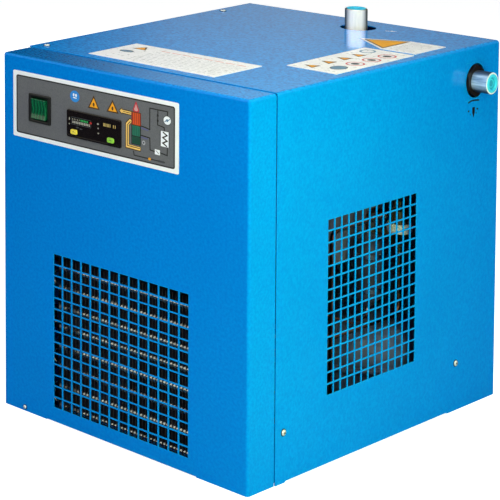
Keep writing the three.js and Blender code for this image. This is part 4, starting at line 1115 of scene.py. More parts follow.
def build_display():
    level = box("controller_body")[0].y + 0.25
    cx, cz = seen("controller_body")[0]

    def moved(outline):
        return [(u + cx, v + cz) for u, v in outline]

    for name, ink, shapes in window_marks():
        shapes = [tuple(map(moved, shape)) if isinstance(shape, tuple) else moved(shape) for shape in shapes]
        printed(name, "front", level, shapes, PRINT[ink], 0.05, "black_plastic", COVER_SET)


def build_buttons():
    """Two soft-edged push buttons, each with a short dark mark."""
    for side, material in (("left", BUTTON_YELLOW), ("right", BUTTON_GREEN)):
        node, body = f"controller_button_{side}", f"{side}_button"
        low, high = box(node)
        face = low.y
        rings = bezel_rings(node,
                            ((0, 0, 2.0, high.y), (0, 0, 2.0, face + 0.6), (0.35, 0.35, 1.9, face + 0.2),
                                   (1.1, 1.1, 1.6, face), (2.2, 2.2, 1.1, face)))
        register(smooth(skinned(f"push_button_{side}", rings, material), 60), node, body)
        u, v = seen(node)[0]
        mark = [stroke([(u - 1.5, v - 0.5), (u, v + 0.8), (u + 1.5, v - 0.5)], 0.6)]
        printed(f"push_mark_{side}", "front", face, mark, PRINT["slate"], 0.04, SLOT_OF[material.name], body)


# ---- labels and marks on the covers -------------------------------------------------------------
def text_lines():
    """Uneven dashes in rows, as a block of small print looks from afar."""
    draw = random.Random(7)
    lines = []
    for row in range(9):
        v = -119 - 7 * row
        u = -48
        while u < 72:
            length = draw.uniform(5, 15)
            lines.append(rectangle(u, min(u + length, 76), v, v + 1.3))
            u += length + 3
    return lines


def label_marks():
    """(name, ink, shapes) of everything printed on the three films."""
    yield "front_label_oval", "slate", [ellipse_ring(-75, -140, 9.5, 6.0, 1.5, 1.4)]
    yield "front_label_oval_field", "slate_blue", [ellipse(-75, -140, 8.0, 4.6)]
    ring = outline_ring([(-82, -121), (-62, -121), (-72, -104)], (-72, -115.3), 0.68)
    yield "front_label_triangle_edge", "umber", [ring]
    yield "front_label_triangle", "amber", [ring[1]]
    yield "front_label_heading", "rose", bars(8, -46, 15, 12, -112, -109)
    yield "front_label_lines", "faint", text_lines()

    edged = [outline_ring([(108, v), (123.5, v - 9), (123.5, v + 9)], (118.3, v), 0.62)
             for v in (-51, -18, 13.5, 42.7)]
    yield "side_label_triangle_edges", "umber", edged
    yield "side_label_triangles", "amber", [inner for _, inner in edged]
    spots = (-4, 29, 61)
    yield "side_label_rings", "crimson", [ellipse_ring(143, v, 10.2, 11.5, 2, 2) for v in spots]
    yield "side_label_cores", "slate", [ellipse(143, v, 4.6, 5.2) for v in spots]
    yield "side_label_oval", "slate_blue", [ellipse(143, -37, 7.6, 10.6)]
    yield "side_label_oval_edge", "slate", [ellipse_ring(143, -37, 8.8, 12, 1.2, 1.4)]
    yield "side_label_dark_ring", "slate_blue", [ellipse_ring(112, 71, 8.8, 11.0, 2.6, 2.8)]

    ring = outline_ring([(67, 135.4), (113, 161), (113, 100.6)], (97.7, 132.3), 0.86)
    yield "corner_label_triangle_edge", "umber", [ring]
    yield "corner_label_triangle", "yellow", [ring[1]]
    yield "corner_label_lines", "faint", [
        rectangle(119, 119 + 30 - 3 * (i % 3), 106 + 6.5 * i, 107.2 + 6.5 * i) for i in range(8)]


def build_top_labels():
    level = box("top_label_front")[1].z
    base = TOP + 0.02
    films = {
        node: rounded_rectangle(*seen(node, up="y"), 1.5) for node in ("top_label_front", "top_label_side")}
    films["top_label_corner"] = [(157, 97), (157, 163), (112, 163), (61, 137), (112, 97)]
    for node, outline in films.items():
        printed(f"{node}_film", "top", base, [outline], FILM_WHITE, level - base, "label_white", nodes=node)
    for name, ink, shapes in label_marks():
        printed(name, "top", level, shapes, PRINT[ink], 0.04, "label_white")


def build_cover_marks():
    """The inlet's arrow on the top, and the outlet's stamped bar, drop and dots on the side."""
    arrow = [stroke([(54, 203.5), (60.5, 207.6)], 1.6), [(59.6, 204.6), (65.6, 209.2), (58.2, 209.8)]]
    printed("inlet_arrow_mark", "top", TOP, arrow, FILM_WHITE, 0.05, "label_white")
    shapes = [
        stroke([(182, 381.4), (190, 383.0), (198, 382.6), (207, 381.6)], 1.9),
        [(191.6, 374.4), (197.0, 374.4), (197.2, 368.2), (194.3, 361.4), (191.4, 368.2)],
        ellipse(183.4, 370.8, 1.9, 1.2, 20), ellipse(202.6, 371.2, 1.9, 1.2, 20),
        ellipse(187.6, 366.0, 1.1, 0.9, 16), ellipse(200.6, 366.4, 1.1, 0.9, 16)]
    printed("outlet_mark", "side", SIDE, shapes, PRINT["stamp_and_shade"], 0.05, "black_plastic")


# ---- air pipes ----------------------------------------------------------------------------------
PIPE_WALL = 2.6
PLUG_RADIUS = 10.5


def build_pipes():
    """The stub on the top, the one through the side with its nut and pale rim, and both plugs."""
    low, high = box("air_inlet_pipe")
    centre, width, _ = seen("air_inlet_pipe", up="y")
    radius, top = width / 2, high.z
    bore = radius - PIPE_WALL
    profile = [(bore, low.z), (radius, low.z), (radius, top - 0.9), (radius - 0.8, top), (bore + 0.3, top),
               (bore, top - 0.5), (bore, low.z)]
    turned("inlet_stub", "z", centre, profile, PIPE, "air_inlet_pipe", 64)
    build_plug("inlet_plug", "z", centre)

    low, high = box("air_outlet_pipe")
    start, end = low.x + radius, high.x
    plug = middle("outlet_plug")
    axis = (plug.y, plug.z)
    path = fillet_path([(start, plug.y, low.z), (start, *axis), (end, *axis)], 24, 10)
    register(smooth(tube_object("outlet_stub", path, radius, SIDE_PIPE, 48, bore), 50), "air_outlet_pipe")
    build_hex_nut(axis, radius + 0.05)
    build_plug("outlet_plug", "x", axis)
    inner, outer = bore + 0.1, radius - 0.1
    rim = [(inner, end - 0.6), (outer, end - 0.6), (outer, end + 0.05), (inner, end + 0.05),
           (inner, end - 0.6)]
    turned("outlet_rim", "x", axis, rim, PIPE_RIM)


def build_hex_nut(centre, bore):
    """A backnut with chamfered corners, round the outlet pipe behind the side sheet."""
    reach, count = 20.6, 36
    start, end = SIDE - 15.8, SIDE + 2.5
    sixth = math.pi / 6
    rings = []
    for share, along in ((0.93, start), (1.0, start + 1.2), (1.0, end - 1.2), (0.93, end)):
        ring = []
        for i in range(count):
            angle = 2 * math.pi * i / count
            flat = reach * math.cos(sixth) / math.cos((angle + sixth) % (2 * sixth) - sixth)
            r = min(flat, reach * share)
            ring.append(axis_point("x", centre, r * math.cos(angle), r * math.sin(angle), along))
        rings.append(ring)
    rings += [
        [axis_point("x", centre, a, b, along) for a, b in circle(bore, count)] for along in (end, start)]
    register(smooth(skinned("outlet_backnut", rings, BACKNUT, True), 25))


def build_plug(node, axis, centre):
    """A push-in cap: a thin lip, a dished face with a raised ring, a tapered skirt, and a darker ring of
    painted shade in the dish.
    """
    r, lip = PLUG_RADIUS, getattr(box(node)[1], axis) + 0.6
    flange = r + 0.9
    profile = [(0, lip - 14), (r - 1.2, lip - 14), (r - 0.2, lip - 1.0), (r - 0.1, lip - 0.8),
               (flange, lip - 0.8), (flange, lip - 0.3), (flange - 0.5, lip), (r - 2.0, lip),
               (r - 2.4, lip - 0.4), (r - 2.8, lip - 2.3), (r - 5.0, lip - 2.5), (r - 5.4, lip - 1.9),
               (r - 6.2, lip - 1.9), (r - 6.6, lip - 2.5), (0, lip - 2.5)]
    turned(f"{node}_cap", axis, centre, profile, TEAL, node, body=f"{node}_body")
    # Painted shade: a darker teal ring laid on the dish's floor, where the recess is shaded.
    floor = [(0, lip - 2.6), (r - 2.9, lip - 2.4), (r - 2.9, lip - 2.2), (r - 5.0, lip - 2.3),
             (0, lip - 2.2)]
    turned(f"{node}_recess", axis, centre, floor, TEAL_PAINTED_SHADE, body=f"{node}_body")


# ---- condenser and fan --------------------------------------------------------------------------
COIL_TUBE = 4.76
COIL_ROWS = 8
COIL_PITCH = 25
COIL_FIRST = 11
COIL_FRONT_Y = -222
COIL_REAR_Y = -200
FIN_PITCH = 4.6
FIN_THICKNESS = 0.35
FIN_WAVE = 0.5
FAN_AXIS = (0, 108)
FAN_OPENING = 91
FAN_BLADES = 5
BLADE_ROOT = 18
BLADE_TIP = 86
BLADE_Y = -173
BLADE_HALF = 0.8


def coil_level(level):
    return COIL_FIRST + COIL_PITCH * level


def build_condenser():
    """Two rows of tubes in one serpentine, the fins across them and an end plate on each side."""
    low, high = box("condenser_coil")
    reach = high.x - COIL_TUBE
    points = [(low.x, COIL_REAR_Y, coil_level(COIL_ROWS - 1))]
    near, far = COIL_REAR_Y, COIL_FRONT_Y
    for level in reversed(range(COIL_ROWS)):
        z = coil_level(level)
        points += [(reach, near, z), (reach, far, z), (low.x + (COIL_TUBE if level else 0), far, z)]
        if level:
            points.append((low.x + COIL_TUBE, far, coil_level(level - 1)))
        near, far = far, near
    tube("condenser_tubes", points, COIL_TUBE, 10.9, TINNED, "condenser_coil", 24)

    low, high = box("condenser_fins")
    count = int((high.x - low.x) / FIN_PITCH)
    bm = bmesh.new()
    for i in range(count + 1):
        add_fin(bm, low.x + 0.3 + (high.x - low.x - 1.0) * i / count, low, high)
    register(smooth(object_from(bm, "condenser_fin_pack", FIN, merge=0)), "condenser_fins")
    for side, x in (("left", low.x - 3.2), ("right", high.x + 1.7)):
        block(f"condenser_end_plate_{side}", (x, low.y - 3, low.z - 1), (x + 1.5, high.y + 3, high.z + 4),
              ZINC)


def add_fin(bm, x, low, high):
    """One thin fin with a slightly wavy leading edge."""
    leading = COIL_FRONT_Y - COIL_TUBE - 0.9
    outline = [(high.y, high.z), (high.y, low.z)]
    steps = 6 * COIL_ROWS
    for i in range(steps + 1):
        outline.append((leading + FIN_WAVE * (i % 2), low.z + (high.z - low.z) * i / steps))
    loft(bm, [laid("side", outline, x + side) for side in (0, FIN_THICKNESS)])


def build_shroud():
    low, high = box("fan_shroud")
    y, r = low.y, FAN_OPENING
    sheet = FoldedSheet(lambda u, v: Vector((u, y, v)), (low.x, high.x), (low.z, high.z))
    sheet.cut_circle(*FAN_AXIS, r, 2.5, 96)
    sheet.build("shroud_plate", BLACK_STEEL, "fan_shroud", 0.4)
    lip = [(r, high.y), (r, y + 6), (r + 1, y + 3), (r + 3, y + 1.2), (r + 3.5, y + 2.2), (r + 1.8, y + 4),
           (r + 1.2, y + 7), (r + 1.2, high.y), (r, high.y)]
    turned("shroud_ring", "y", FAN_AXIS, lip, BLACK_STEEL, count=96)


def build_fan():
    """A hub with five cambered, twisted blades that have round tips."""
    low, high = box("fan_rotor")
    hub = [(0, low.y), (14, low.y), (19, low.y + 3), (21, low.y + 8), (21, high.y), (0, high.y)]
    bm = bmesh.new()
    add_turned(bm, "y", FAN_AXIS, rounded_corner(rounded_corner(hub, 3, 2.0), 1, 1.0))
    for blade in range(FAN_BLADES):
        turn = Matrix.Rotation(2 * math.pi * blade / FAN_BLADES, 3, "Y")
        add_shell(bm, [blade_face(turn, side) for side in (-BLADE_HALF, BLADE_HALF)])
    rotor = object_from(bm, "fan_blades", BLACK_STEEL, merge=0.0001)
    register(smooth(rotor, 50), "fan_rotor", "fan")


def blade_face(turn, side, along=10, across=8):
    """The grid of points on one side of a blade, turned about the fan's axis."""
    shift = Vector((FAN_AXIS[0], 0, FAN_AXIS[1]))
    rows = []
    for i in range(along + 1):
        t = i / along
        radius = BLADE_ROOT + (BLADE_TIP - BLADE_ROOT) * t
        taper = math.sqrt(max(0.05, 1 - max(0, t - 0.86) * 4))
        chord = (26 + 26 * math.sin(min(1.0, t * 1.15) * HALF_PI)) * taper
        pitch = math.radians(38 - 16 * t)
        row = []
        for j in range(across + 1):
            s = j / across - 0.5
            camber = 3.2 * (1 - 4 * s * s)
            angle = s * chord * math.cos(pitch) / radius + 0.12 * t
            y = BLADE_Y + s * chord * math.sin(pitch) - camber + side * (1 - abs(2 * s) ** 4 * 0.7)
            row.append(turn @ Vector((radius * math.sin(angle), y, radius * math.cos(angle))) + shift)
        rows.append(row)
    return rows


def add_shell(bm, sides):
    """A closed thin body between two grids of points."""
    grids = [[[bm.verts.new(p) for p in row] for row in side] for side in sides]
    rows, columns = len(grids[0]), len(grids[0][0])
    for side, grid in enumerate(grids):
        for i in range(rows - 1):
            for j in range(columns - 1):
                corners = (grid[i][j], grid[i + 1][j], grid[i + 1][j + 1], grid[i][j + 1])
                bm.faces.new(corners if side else corners[::-1])
    rim = [(i, 0) for i in range(rows)] + [(rows - 1, j) for j in range(1, columns)]
    rim += [(i, columns - 1) for i in range(rows - 2, -1, -1)] + [(0, j) for j in range(columns - 2, 0, -1)]
    first, second = ([grid[i][j] for i, j in rim] for grid in grids)
    add_band(bm, first, second)


def build_motor():
    low, high = box("fan_motor")
    profile = [(0, low.y), (11, low.y), (12, low.y + 5), (30, low.y + 5), (36, low.y + 8), (37, low.y + 12),
               (37, -133), (36.2, -132.4), (36.2, -131.2), (37, -130.6), (37, -112), (35, -107),
               (31, high.y), (0, high.y)]
    turned("fan_motor_shell", "y", FAN_AXIS, profile, BLACK_STEEL, "fan_motor", 64)
    refined("fan_bracket", ZINC)
    refined("fan_shaft", ZINC, 0.2)


# ---- compressor and refrigerant circuit ---------------------------------------------------------
LINE = 3.2
LINE_TOP = 226
RISER_X = 60
RISER_Y = -40
DRIER_AXIS = (125, 55)


def build_compressor():
    """The oval welded shell with its seam bead, neck, foot plate and two tube sockets."""
    x, y, bottom, top = 100, 95, 12, 120
    seam = (bottom + top) / 2
    profile = [(0, bottom), (40, bottom), (50, bottom + 4), (57, bottom + 14), (59.2, bottom + 26),
               (59.4, seam - 4), (61.4, seam - 3), (62, seam - 1), (62, seam + 1), (61.2, seam + 3),
               (58.4, seam + 4), (57.6, top - 34), (54, top - 20), (47, top - 11), (36, top - 4.6),
               (22, top - 1.2), (8, top - 0.1), (0, top)]
    bm = bmesh.new()
    add_turned(bm, "z", (x, y), profile, 72, 78 / 62)
    add_turned(bm, "z", (x, y), [(0, bottom + 2), (30, bottom + 2), (30, 30), (0, 30)], 32)
    register(smooth(object_from(bm, "compressor_shell", COMPRESSOR_PAINT), 50), "compressor")

    sheet = FoldedSheet(lambda u, v: Vector((u, v, 17.5)), (x - 68, x + 68), (y - 91, y + 91))
    for index in range(1, 5):
        node = f"compressor_grommet_{index}"
        low, high = box(node)
        spot = tuple(middle(node).xy)
        sheet.cut_circle(*spot, 7, 2.4, 32)
        profile = [(0, low.z), (10.8, low.z), (11, low.z + 1), (9.4, low.z + 6), (10.2, low.z + 8),
                   (9, 14.7), (6.6, 14.9), (6.6, 17.7), (9.2, 17.9), (9.5, 18.8), (6, 20.4), (0, high.z)]
        turned(f"rubber_foot_{index}", "z", spot, profile, RUBBER, node, 32)
    sheet.build("compressor_foot_plate", BLACK_STEEL, edge=0.5)

    sockets = (("suction", 6, (x - 12, 78), 6, y - 40), ("discharge", 4.5, (x - 40, 66), 14, y - 30))
    for name, radius, spot, start, end in sockets:
        wall = radius - 1.0
        profile = [(wall, start), (radius, start + 0.4), (radius, start + 5), (radius - 0.4, start + 5.6),
                   (radius - 0.4, end), (wall, end), (wall, start)]
        turned(f"{name}_socket", "y", spot, profile, COPPER, count=32)
    block("terminal_cover", *box("compressor_terminal_cover"), BLACK, "compressor_terminal_cover", 3.0, 4)


def build_refrigerant_lines():
    start = box("condenser_coil")[0].x - 0.3
    exchanger_y = box("insulation_lower")[0].y - 0.3
    drier_top = box("filter_drier")[1].z + 0.3
    rx, ry, rear, top = RISER_X, RISER_Y, COIL_REAR_Y, coil_level(COIL_ROWS - 1)
    tube("discharge_line", [
        (60, 13.7, 66), (rx, ry, 66), (rx, ry, LINE_TOP), (-140, ry, LINE_TOP), (-140, rear, LINE_TOP),
        (-140, rear, top), (start, rear, top)], LINE, 12, COPPER, "discharge_tube")
    tube("liquid_line", [
        (start, rear, COIL_FIRST), (-140, rear, COIL_FIRST), (-140, -60, COIL_FIRST), (152, -60, COIL_FIRST),
        (152, -60, 262), (152, 55, 262), (125, 55, 262), (125, 55, drier_top)], LINE, 11, COPPER,
         "liquid_tube")
    tube("suction_line",
         [(24, exchanger_y, 232), (24, -20, 232), (24, -20, 78), (88, -20, 78), (88, 5.7, 78)],
         4.8, 12, COPPER, "suction_tube", 20)
    tube("bypass_line", [(138, 100, 201.7), (138, 100, 126), (138, ry, 126), (rx + LINE + 0.3, ry, 126)],
         LINE, 12, COPPER, "bypass_feed_tube")


def build_capillary():
    """A fine tube wound four times on its way from the drier to the exchanger."""
    turns, radius = 4, 17
    cx, cy, cz = 84, -8, 138
    low = box("filter_drier")[0]
    exchanger_y = box("insulation_lower")[0].y - 0.3
    path = [(125, 55, low.z - 0.3), (125, 53, low.z - 6.3), (125, 24, 126)]
    steps = turns * 28
    for i in range(steps + 1):
        angle = 2 * math.pi * turns * i / steps + 0.3
        path.append((cx + radius * math.cos(angle), cy + radius * math.sin(angle), cz + 14 * i / steps))
    path += [(88, -2, 190), (46, 4, 214), (46, exchanger_y, 214)]
    register(smooth(tube_object("capillary_coil", path, 1.1, COPPER, 8), 60), "capillary_tube")


def build_drier():
    """The spun shell of the filter drier, its two bands and its braze joints."""
    low, high = box("filter_drier")
    b, t = low.z, high.z
    profile = [(0, b), (3.2, b), (3.2, b + 6), (5, b + 8), (11, b + 14.5), (15, b + 19), (15.5, b + 22),
               (15.5, t - 22), (15, t - 19), (11, t - 14.5), (5.5, t - 8), (4.2, t - 5), (4.2, t), (0, t)]
    turned("filter_drier_shell", "z", DRIER_AXIS, profile, DRIER_PAINT, "filter_drier")
    for z in (b + 30, t - 30):
        ring = [(15.5, z - 3), (16.1, z - 2.6), (16.1, z + 2.6), (15.5, z + 3), (15.5, z - 3)]
        turned(f"drier_band_{int(z)}", "z", DRIER_AXIS, ring, ZINC)
    for name, z in (("lower", b + 3), ("upper", t - 2)):
        fillet = [(3.0, z - 3.5), (3.6, z - 2), (4.4, z), (3.6, z + 2), (3.0, z + 3.5), (3.0, z - 3.5)]
        turned(f"drier_braze_{name}", "z", DRIER_AXIS, fillet, SOLDER, count=24)


def build_valves():
    """The brass bypass valve with a white ring on it as a painted glint, its braze joints, and the fan's
    pressure switch.
    """
    x, y, bottom, side = 138, 100, 202, 222
    inlet = box("bypass_valve")[0].x
    column = [(0, bottom), (5, bottom), (5, bottom + 8), (9, bottom + 8.6), (10, bottom + 10),
              (10, side + 12), (13.4, side + 12), (14, side + 13), (14, side + 15.6), (9, side + 18),
              (9, side + 33), (6.5, side + 36), (6.5, side + 45), (5.6, side + 46), (0, side + 46)]
    bm = bmesh.new()
    add_turned(bm, "z", (x, y), column, 32)
    hexagon = [(x + a, y + b) for a, b in circle(12.5, 6)]
    loft(bm, [laid("top", hexagon, z) for z in (side - 8, side + 6)])
    add_turned(bm, "x", (y, side), [(0, x - 20), (4.6, x - 20), (5, x - 19.4), (5, x), (0, x)], 24)
    add_turned(bm, "x", (y, side), [(0, inlet), (LINE, inlet), (LINE, x), (0, x)], 16)
    register(smooth(object_from(bm, "bypass_valve_body", BRASS, merge=0), 35), "bypass_valve")
    # Painted glint: a white ring on the valve's hexagon, where a bright glint shows.
    cap = [(9.1, side + 5.8), (13.2, side + 6.0), (14.4, side + 8), (14.4, side + 15.8), (13.2, side + 17.4),
           (9.1, side + 17.4), (9.1, side + 5.8)]
    turned("valve_glint_ring", "z", (x, y), cap, WHITE_PLASTIC, count=32, slot="brass")
    braze = [(3.0, bottom - 4), (4.4, bottom - 2.4), (5.4, bottom + 0.4), (5.2, bottom + 1.4),
             (3.0, bottom + 1.4), (3.0, bottom - 4)]
    turned("valve_braze", "z", (x, y), braze, SOLDER, count=24)
    low, high = box("fan_pressure_switch")
    b = low.z
    profile = [(0, b), (4, b), (4, b + 5), (8.6, b + 6), (9, b + 7), (9, b + 12), (11, b + 13),
               (11, b + 27.4), (10.4, b + 28.6), (7, high.z), (0, high.z)]
    turned("pressure_switch", "z", (-30, RISER_Y), profile, BRASS, "fan_pressure_switch", 32)


# ---- exchanger and drain ------------------------------------------------------------------------
STRAP_HALF = 2.4
DRAIN_HEIGHT = 55


def build_exchanger():
    """Two foam shells tied together round the plate exchanger, on its stand."""
    for node in ("insulation_lower", "insulation_upper"):
        build_foam(node)
    low, high = box("insulation_lower")
    for index, x in enumerate((low.x + 55, high.x - 55)):
        build_strap(index, x, low, box("insulation_upper")[1])
    refined("exchanger_core", ALUMINIUM, 1.0)
    refined("exchanger_stand", ZINC)


def build_foam(node):
    """A foam shell with soft corners and slightly uneven faces."""
    bm = bmesh.new()
    add_block(bm, *box(node))
    bmesh.ops.subdivide_edges(bm, edges=bm.edges, cuts=9, use_grid_fill=True)
    obj = bevel(object_from(bm, f"{node}_shell", FOAM), 5.0, 4, 50)
    for vertex in obj.data.vertices:
        p = vertex.co / MM
        sway = math.sin(p.x / 17) * math.sin(p.y / 23 + 1.1) * math.cos(p.z / 19)
        vertex.co += vertex.normal * (0.5 * sway - 0.5) * MM
    register(smooth(obj, 60), node)


def build_strap(index, x, low, high):
    """A cable tie round both foam shells."""
    centre = ((low.y + high.y) / 2, (low.z + high.z) / 2)
    depth, height = high.y - low.y, high.z - low.z
    outer = rounded_rectangle(centre, depth + 0.8, height + 0.2, 6)
    inner = rounded_rectangle(centre, depth - 1.4, height - 1.6, 5.4)
    start, end = x - STRAP_HALF, x + STRAP_HALF
    rings = [laid("side", *ring) for ring in ((outer, start), (outer, end), (inner, end), (inner, start))]
    register(smooth(skinned(f"foam_strap_{index}", rings, BLACK, True)))


def build_drain():
    """The drain valve with its coil, the hose down to it, and the barbed outlet at the back."""
    refined("drain_valve", BRASS, 0.6)
    refined("drain_coil", BLACK, 0.8)
    x, z, start = middle("drain_valve").x, DRAIN_HEIGHT, box("drain_tube")[1].x
    tube("drain_hose", [(start, 60, 206), (x, 60, 206), (x, 60, z), (x, box("drain_valve")[0].y - 0.3, z)],
         4, 12, NYLON, "drain_tube", 20)
    low, high = box("drain_outlet")
    profile = [(0, low.y), (4.2, low.y), (4.2, BACK - 12), (7.5, BACK - 12), (7.5, BACK + 0.2),
               (10.6, BACK + 0.2), (11, BACK + 0.8), (11, BACK + 3.6), (9, BACK + 4.6), (5.2, BACK + 8)]
    for i in range(3):
        barb = BACK + 8.4 + 3.8 * i
        profile += [(3.4, barb), (4.2, barb + 0.3), (3.3, barb + 3.4)]
    profile += [(3.2, high.y), (2.2, high.y), (2.2, BACK + 2), (0, BACK + 2)]
    turned("drain_barb", "y", (middle("drain_outlet").x, z), profile, BLACK, "drain_outlet", 32)


# ---- electrical ---------------------------------------------------------------------------------
def build_electrics():
    """The terminal box, the run capacitor, the power inlet, the cables and the two leads' plugs."""
    low, high = box("terminal_box")
    block("terminal_box_base", low, (low.x + 22, high.y, high.z), GREY_PLASTIC, "terminal_box", 1.6, 3)
    block("terminal_box_lid", (low.x + 22.4, low.y - 0.01, low.z), high, GREY_PLASTIC, edge=2.4, segments=4)
    wall = high.x + 0.3
    low, high = box("run_capacitor")
    profile = [(0, low.y), (15.6, low.y), (17, low.y + 1.4), (17, -76), (16, -74), (6.4, -73), (6, -72),
               (5, high.y), (0, high.y)]
    turned("capacitor_can", "y", seen("run_capacitor")[0], profile, WHITE_PLASTIC, "run_capacitor")
    refined("power_inlet", BLACK)

    (x, z), (u, w) = (seen(node)[0] for node in ("controller_body", "switch_body"))
    back, switch_back = (box(node)[1].y + 0.3 for node in ("controller_body", "switch_body"))
    cover = box("compressor_terminal_cover")[0].x - 0.3
    tube("harness_jacket", [(x, back, z), (x, -150, z), (-90, -105, z - 10), (wall, -105, z - 10)],
         3.5, 14, CABLE, "control_harness")
    tube("switch_cable", [(u, switch_back, w), (u, -180, w), (u, -130, 350), (wall, -130, 350)],
         2.8, 9, CABLE, "switch_lead")
    tube("compressor_flex",
         [(wall, -75, 320), (-20, -75, 320), (-20, -75, 62), (-20, 95, 62), (cover, 95, 62)],
         3.5, 16, CABLE, "compressor_cable")
    for name, node in (("harness", "controller_body"), ("switch", "switch_body")):
        start = box(node)[1].y
        profile = [(0, start - 0.5), (5.2, start - 0.5), (5.2, start + 3.0), (4.4, start + 4.0),
                   (0, start + 4.0)]
        turned(f"{name}_plug", "y", seen(node)[0], profile, WHITE_PLASTIC, count=24, body=COVER_SET)


# ---- studio -------------------------------------------------------------------------------------
CAMERA_PLACE = (1.4416, -2.0764, 0.945)
CAMERA_YAW = math.radians(56.39)
CAMERA_PITCH = math.radians(4.72)
CAMERA_ROLL = math.radians(-1.49)
LENS = 138.4
LENS_SHIFT = {"shift_x": 1.5143, "shift_y": -0.8537}
MIRRORED_SPAN = (-0.65, -0.44)
MIRRORED_STOPS = (
    (-0.65, 0.0), (-0.633, 0.02), (-0.607, 0.2), (-0.59, 0.36), (-0.54, 0.47), (-0.5, 0.33), (-0.44, 0.22))
MIRRORED_TINT = (1.0, 1.0, 0.8, 1.0)
DAYLIGHT = (0.94, 0.97, 1.0, 1.0)
MIRRORED_AHEAD = 1.0
SURROUND = 0.18
BACKDROP = 1.1
FLOOR_REACH = 30000
FLOOR_LEVEL = -0.6
FLOOR_GLOW = 0.8
MIRRORED_FLOOR = (0.02, 0.05, 0.08, 1.0)


def lens_shift(camera, name, amount):
    """Shifts the lens while the camera stands at its own place, and not where another view puts it."""
    driver = camera.data.driver_add(name).driver
    place = driver.variables.new()
    place.name = "x"
    place.type = "TRANSFORMS"
    place.targets[0].id = camera
    place.targets[0].transform_type = "LOC_X"
    place.targets[0].transform_space = "WORLD_SPACE"
    driver.expression = f"{amount} if abs(x - {CAMERA_PLACE[0]}) < 0.001 else 0.0"


def build_camera():
    sin, cos = math.sin, math.cos
    yaw, pitch, roll = CAMERA_YAW, CAMERA_PITCH, CAMERA_ROLL
    forward = Vector((-sin(yaw) * cos(pitch), cos(yaw) * cos(pitch), -sin(pitch)))
    right = Vector((cos(yaw), sin(yaw), 0))
    up = right.cross(forward)
    rolled = (cos(roll) * right + sin(roll) * up, -sin(roll) * right + cos(roll) * up)
    camera = bpy.data.objects.new("camera", bpy.data.cameras.new("camera"))
    camera.data.lens = LENS
    camera.data.sensor_width = 36
    camera.matrix_world = (
        Matrix.Translation(CAMERA_PLACE) @ Matrix((*rolled, -forward)).transposed().to_4x4())
    bpy.context.scene.collection.objects.link(camera)
    for name, amount in LENS_SHIFT.items():
        lens_shift(camera, name, amount)
    bpy.context.scene.camera = camera


def area_light(name, place, target, width, height, power, colour=(1, 1, 1), mirrored=True):
    data = bpy.data.lights.new(name, "AREA")
    data.shape = "RECTANGLE"
    data.size, data.size_y = width, height
    data.energy = power
    data.color = colour
    light = bpy.data.objects.new(name, data)
    light.location = place
    light.rotation_euler = (Vector(target) - Vector(place)).to_track_quat("-Z", "Y").to_euler()
    light.visible_camera = False
    light.visible_glossy = mirrored
    bpy.context.scene.collection.objects.link(light)


def build_lights():
    area_light("key_right", (0.69, -0.3, 0.45), (0.17, -0.15, 0.25), 0.3, 0.8, 6.3, (0.85, 1.0, 0.37), False)
    area_light("fill_right", (0.5, -1.1, 0.95), (0.1, -0.25, 0.35), 0.6, 0.6, 6.2, (1.0, 0.95, 1.0), False)
    area_light("fill_back_right", (1.3, 1.0, 0.6), (0.17, 0.1, 0.25), 0.6, 0.8, 5, (1.0, 0.8, 1.0), False)
    area_light("fill_front", (-0.5, -1.9, 1.2), (-0.1, -0.25, 0.2), 1.2, 1.2, 1.8)
    area_light("top_soft", (0.25, -0.35, 1.6), (0, -0.05, 0.45), 0.9, 0.9, 11, mirrored=False)
    area_light("back_left", (-1.6, 1.4, 1.1), (0, 0, 0.2), 1.2, 1.2, 12, mirrored=False)


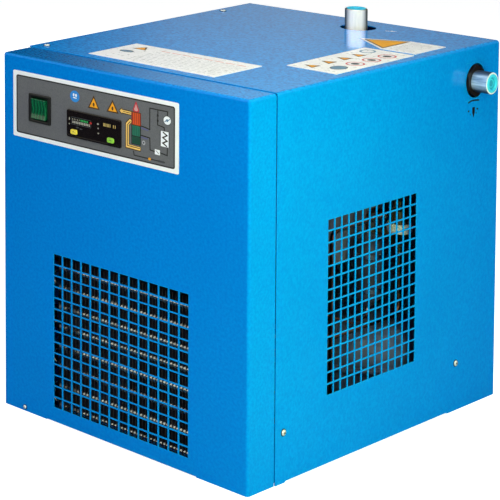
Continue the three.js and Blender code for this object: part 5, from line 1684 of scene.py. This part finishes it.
def build_world():
    """A pale surround. What the paint mirrors of it brightens and dims again along the left side."""
    world = bpy.data.worlds.new("studio")
    bpy.context.scene.world = world
    s = Shader(world, "Background")
    direction = s.add("ShaderNodeTexCoord").outputs["Generated"]
    share = s.remap(s.part(direction, "X"), 0.0, 1.0, *MIRRORED_SPAN)
    ramp = s.add("ShaderNodeValToRGB", Fac=share)
    start, end = MIRRORED_SPAN
    stops = ramp.color_ramp.elements
    for place, _ in MIRRORED_STOPS[1:-1]:
        stops.new((place - start) / (end - start))
    for stop, (_, strength) in zip(stops, MIRRORED_STOPS):
        stop.color = (strength, strength, strength, 1)
    ahead = s.remap(s.part(direction, "Y"), 0.0, 1.0, 0.1, -0.1)
    mirrored = s.mix("FLOAT", ahead, ramp.outputs["Color"], MIRRORED_AHEAD)
    strength = s.mix("FLOAT", s.ray("Glossy"), SURROUND, mirrored)
    strength = s.mix("FLOAT", s.ray("Camera"), strength, BACKDROP)
    s.finish(Strength=strength, Color=s.blend(s.ray("Glossy"), DAYLIGHT, MIRRORED_TINT))


def build_floor():
    """White paper that glows a little to the camera, and is dark where the paint mirrors it."""
    s = paint("floor_paper")
    base = s.blend(s.remap(s.noise(3.0), 0.0, 1.0), rgb("f7f8fa"), rgb("f2f4f6"))
    base = s.blend(s.ray("Glossy"), base, MIRRORED_FLOOR)
    glow = s.combine("ShaderNodeMath", "MULTIPLY", s.ray("Camera"), FLOOR_GLOW)
    s.finish(Base_Color=base, Roughness=0.9, Specular_IOR_Level=0.1, Emission_Color=(1, 1, 1, 1),
             Emission_Strength=glow)
    bm = bmesh.new()
    bm.faces.new([bm.verts.new((a, b, FLOOR_LEVEL)) for a, b in circle(FLOOR_REACH, 96)])
    object_from(bm, "floor", s.block, closed=False)


STEPS = (
    build_front_cover, build_main_cover, build_left_panel, build_rear_panel, build_screws,
    build_control_label, build_panel_art, build_switch, build_controller, build_display, build_buttons,
    build_top_labels, build_cover_marks, build_pipes, build_condenser, build_shroud, build_fan, build_motor,
    build_compressor, build_refrigerant_lines, build_capillary, build_drier, build_valves, build_exchanger,
    build_drain, build_electrics, build_floor, build_world, build_lights, build_camera)


def main():
    refined("base_pan", BLUE)
    for step in STEPS:
        step()
    view = bpy.context.scene.view_settings
    view.view_transform = "Standard"
    view.look = "None"


main()
